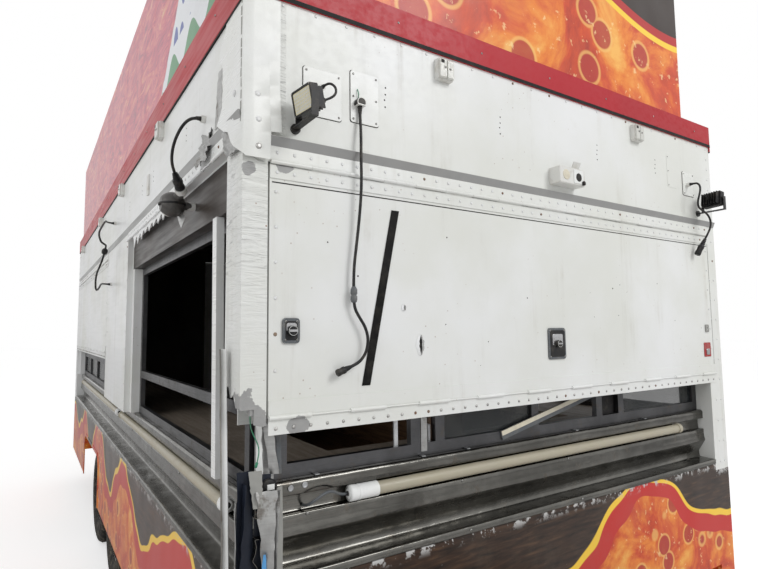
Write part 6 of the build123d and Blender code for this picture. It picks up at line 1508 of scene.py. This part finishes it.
@dataclass
class Windows:
    """Tinted sashes, the loose boards behind the front window, the lamp tubes' ends and the prop bar's faces."""

    pane: tuple = (-0.087, -0.083, "dark_glass", 0.0008)
    tube_out: float = -0.0477

    def panes(self) -> None:
        """The panes of the front window and of both rear bays."""
        made = Maker("sash_panes", slot="mill_aluminium")
        for left, right in ((-0.500, -0.080), (0.500, 1.060)):
            made.slab(FRONT, left, right, SILL_FRONT + 0.03, 1.32, *self.pane)
        for near, far in ((2.935, 3.475), (3.515, 4.080), (4.120, 4.685), (4.725, 5.270)):
            for side, sign in SIDES:
                ends = sorted((sign * along(near), sign * along(far)))
                made.slab(side, *ends, SILL_SIDE + 0.03, 1.870, *self.pane)
        made.done()

    def boards(self) -> None:
        """Boards and bars that stand behind the front window."""
        made = Maker("window_boards", slot="plywood")
        # columns: left, right, foot over the sill, top, back, face, finish, ease
        for left, right, foot, *rest in (
                (-0.548, -0.405, 0.001, 1.862, -0.103, -0.0945, "brown_board", 0.001),
                (-0.556, -0.548, 0.001, 1.235, -0.103, -0.088, "mill_aluminium", 0.001),
                (-0.600, -0.576, 0.012, 1.262, -0.0722, -0.0700, "torn_metal", 0.0006),
                (-0.695, -0.681, 0.004, 1.870, -0.090, -0.084, "mill_aluminium", 0.001),
                (0.345, 0.470, 0.030, 1.860, -0.099, -0.0945, "dark_hole", 0.001)):
            made.slab(FRONT, left, right, SILL_FRONT + foot, *rest)
        made.done()

    def tube_ends(self) -> None:
        """The white sleeves and caps at the ends of the lamp tubes."""
        made = Maker("lamp_tube_ends", slot="cream_plastic")
        rim = [(0.0185, -0.001), (0.0226, 0.001), (0.0232, 0.006)]
        front = [(0.0232, 0.022), (0.0215, 0.0245), (0.0215, 0.0270), (0.0232, 0.0285), (0.0232, 0.0330),
                 (0.0224, 0.0345), (0.0224, 0.0950)]
        side = [(0.0232, 0.028), (0.0224, 0.030)]
        ends = [((FRONT_X + self.tube_out, -0.8815, 1.078), (1, 0, 0), front,
                 [(0.0190, -0.0012), (0.0095, -0.0026), (0.0075, -0.0022)], [(0.0070, -0.0020), (0.0070, -0.0032)])]
        ends += [((along(behind), -HALF_W - self.tube_out, 1.048), (0, 1, 0), side,
                  [(0.0190, -0.0012), (0.0110, -0.0026)], [(0.0090, -0.0024), (0.0090, -0.0034)])
                 for behind in (0.2385, 2.4485)]
        for place, upward, sleeve, cap, hole in ends:
            at = placed(place, (0, 0, 1), upward)
            made.lathe(at, rim + sleeve, "bright_white", 24, caps=False)
            made.lathe(at, cap, "bright_white", 24)
            made.lathe(at, hole, "dark_hole", 16)
        made.done()

    def build(self) -> None:
        """Make the panes, boards, tube ends and the prop bar's faces."""
        self.panes()
        self.boards()
        self.tube_ends()
        prop = Maker("prop_faces", slot="white_panel")
        upper = [(-0.2405, 1.1660), (0.3985, 1.3030), (0.3945, 1.3185), (-0.2460, 1.1815)]
        lower = [(-0.2400, 1.1508), (0.4000, 1.2878), (0.3990, 1.3015), (-0.2410, 1.1648)]
        prop.plate(FRONT, upper, -0.0660, -0.0636, "cream_plastic", 0.0006)
        prop.plate(FRONT, lower, -0.0660, -0.0645, "grey_plastic", 0.0006)
        prop.done()


@dataclass
class Tyre:
    """One treaded tyre with ribbed shoulders and raised rings on its walls."""

    name: str
    x: float
    y: float
    radius: float = 0.355
    pitches: int = 58
    sides: int = 64
    tread_foot: float = 0.3440
    tread_top: float = 0.3546
    # columns: radius, distance from the middle plane
    wall: tuple[Pair, ...] = (
        (0.196, 0.088), (0.206, 0.0925), (0.209, 0.0965), (0.214, 0.0965), (0.217, 0.1010), (0.236, 0.1065),
        (0.238, 0.1080), (0.243, 0.1080), (0.245, 0.1072), (0.266, 0.1090), (0.290, 0.1085), (0.293, 0.1093),
        (0.298, 0.1093), (0.300, 0.1070), (0.318, 0.1045), (0.333, 0.0985), (0.3420, 0.0900), (0.3460, 0.0760),
        (0.3475, 0.040))
    # columns: low edge, high edge, how far the blocks lean, their shift in pitches
    ribs: tuple[tuple[float, ...], ...] = (
        (-0.078, -0.052, 0.0, 0.0), (-0.046, -0.020, 0.0035, 0.5), (-0.014, 0.014, 0.0, 0.0),
        (0.020, 0.046, 0.0035, 0.5), (0.052, 0.078, 0.0, 0.0))

    def build(self) -> None:
        """Make the tyre on its wheel."""
        hub = turned(Matrix.Translation((self.x, self.y, self.radius)), -90 if self.y > 0 else 90, "X")
        made = Maker(f"tyre_tread_{self.name}", f"wheel_{self.name}", "tyre")
        profile = [(0.196, 0.080), *self.wall, *((r, -h) for r, h in reversed(self.wall)), (0.196, -0.080)]
        made.lathe(hub, profile, "tyre", self.sides, caps=False)
        arc = 0.82 * math.pi * self.radius / self.pitches
        for index in range(self.pitches):
            for low, high, skew, shift in self.ribs:
                spin = Matrix.Rotation(2 * math.pi * (index + shift) / self.pitches, 4, "Z")
                block = hub @ spin @ placed((0, 0, 0), (0, 0, 1), (0, 1, 0))
                crown = self.tread_top - 0.0040 * (abs(low + high) / 0.13) ** 2
                outline = [(low, skew - arc), (high, -arc - skew), (high, arc - skew), (low, arc + skew)]
                made.plate(block, outline, self.tread_foot, crown, "tyre")
        made.done(f"tyre_{self.name}")


@dataclass
class RearDress:
    """Door trims, the door's lever, and edge strips on the rear wall."""

    door_low: float = -0.900
    door_high: float = -0.140
    sill: float = 0.580
    head: float = 2.410
    trim: float = 0.040

    def build(self) -> None:
        """Make what swings with the door and what stays on the wall."""
        door = Maker("door_trims", "door")
        low, high, sill, head = self.door_low + 0.004, self.door_high - 0.004, self.sill + 0.004, self.head - 0.004
        foot, top = sill + self.trim, head - self.trim
        for band in ((low, high, sill, foot), (low, high, top, head), (low, low + 0.036, foot, top),
                     (high - 0.036, high, foot, top)):
            door.slab(REAR, *band, 0.0002, 0.0022, "mill_aluminium", 0.0006)
        for z in (self.sill + 0.024, self.head - 0.024):
            door.rivets(REAR, (self.door_low + 0.03, z), (self.door_high - 0.03, z), 0.0022, 0.09, "rivet_metal")
        lever = shifted(REAR, -0.210, 1.480)
        door.lathe(lever, [(0.026, 0.024), (0.026, 0.029), (0.012, 0.031), (0.012, 0.052), (0.009, 0.054)],
                   "chrome_rim", 20)
        door.slab(lever, -0.105, 0.012, -0.010, 0.010, 0.044, 0.056, "chrome_rim", 0.003, 0.008)
        door.done()
        wall = Maker("rear_trims")
        wall.slabs(REAR, (-1.098, -1.062, 0.325, 2.452, 0.0002, 0.0020, "bright_white", 0.0006),
                   (1.062, 1.098, 0.325, 2.452, 0.0002, 0.0020, "bright_white", 0.0006),
                   (-1.06, 1.06, 0.325, 0.365, 0.0002, 0.0026, "zinc_steel", 0.0006))
        wall.done()


# CAD nodes with a finish of their own, other than their slot's
BETTER = {node: finish for finish, nodes in {
    "walls": ("right_wall", "left_wall", "rear_wall", "corner_posts", "roof_deck"),
    "front_wall": ("front_upper_wall", "front_apron"),
    "torn_white": ("torn_corner_post",),
    "front_white": ("awning_front",),
    "hinge_paint": ("hinge_leaves",),
    "bright_white": ("leaning_post",),
    "torn_metal": ("bent_corner_angle",),
    "mill_aluminium": ("prop_bar",),
    "sash_metal": ("window_frame_front", "window_frame_right", "window_frame_right_rear", "window_frames_left"),
    "outlet_plastic": ("outlet_boxes",),
    "dusty_board": ("counter_boards",),
    "old_cream": ("tube_lamps",),
    "side_print": ("sign_right", "sign_left"),
}.items() for node in nodes}


def dress_nodes() -> None:
    """Give every carried-over CAD node the finish of its slot, or a better one of its own."""
    for part in frame["record"]["subparts"]:
        data = frame["nodes"][part["node"]].data
        data.materials.clear()
        data.materials.append(Finishes.get(BETTER.get(part["node"], part["material_slot"])))
        for face in data.polygons:
            face.use_smooth = False


def main() -> None:
    """Build the studio and the trailer's pieces in order, and report each."""
    logging.basicConfig(level=logging.INFO, format="%(name)s: %(message)s")
    Studio().build()
    LOG.info("studio")
    dress_nodes()
    LOG.info("finishes on %d nodes", len(frame["nodes"]))
    assemblies = [
        Cordage(),
        Belt("front_belt_sheet", "front_belt", FRONT, -1.0997, 1.0997, SILL_FRONT, -1.10),
        Belt("right_belt_sheet", "right_belt", RIGHT, along(5.3097), along(0.010), SILL_SIDE, FRONT_X),
        Belt("left_belt_sheet", "left_belt", LEFT, -along(0.1303), -along(5.3097), SILL_SIDE, 9.0),
        RoofEdge(), Riveting(), Fittings(), AwningDress(), TornCorner(), Windows(),
        *(Tyre(f"{end}_{side}", x, y) for side, y in (("right", -1.085), ("left", 1.085))
          for end, x in (("front", -0.300), ("rear", -1.160))),
        RearDress(),
    ]
    for assembly in assemblies:
        assembly.build()


if __name__ == "__main__":
    main()
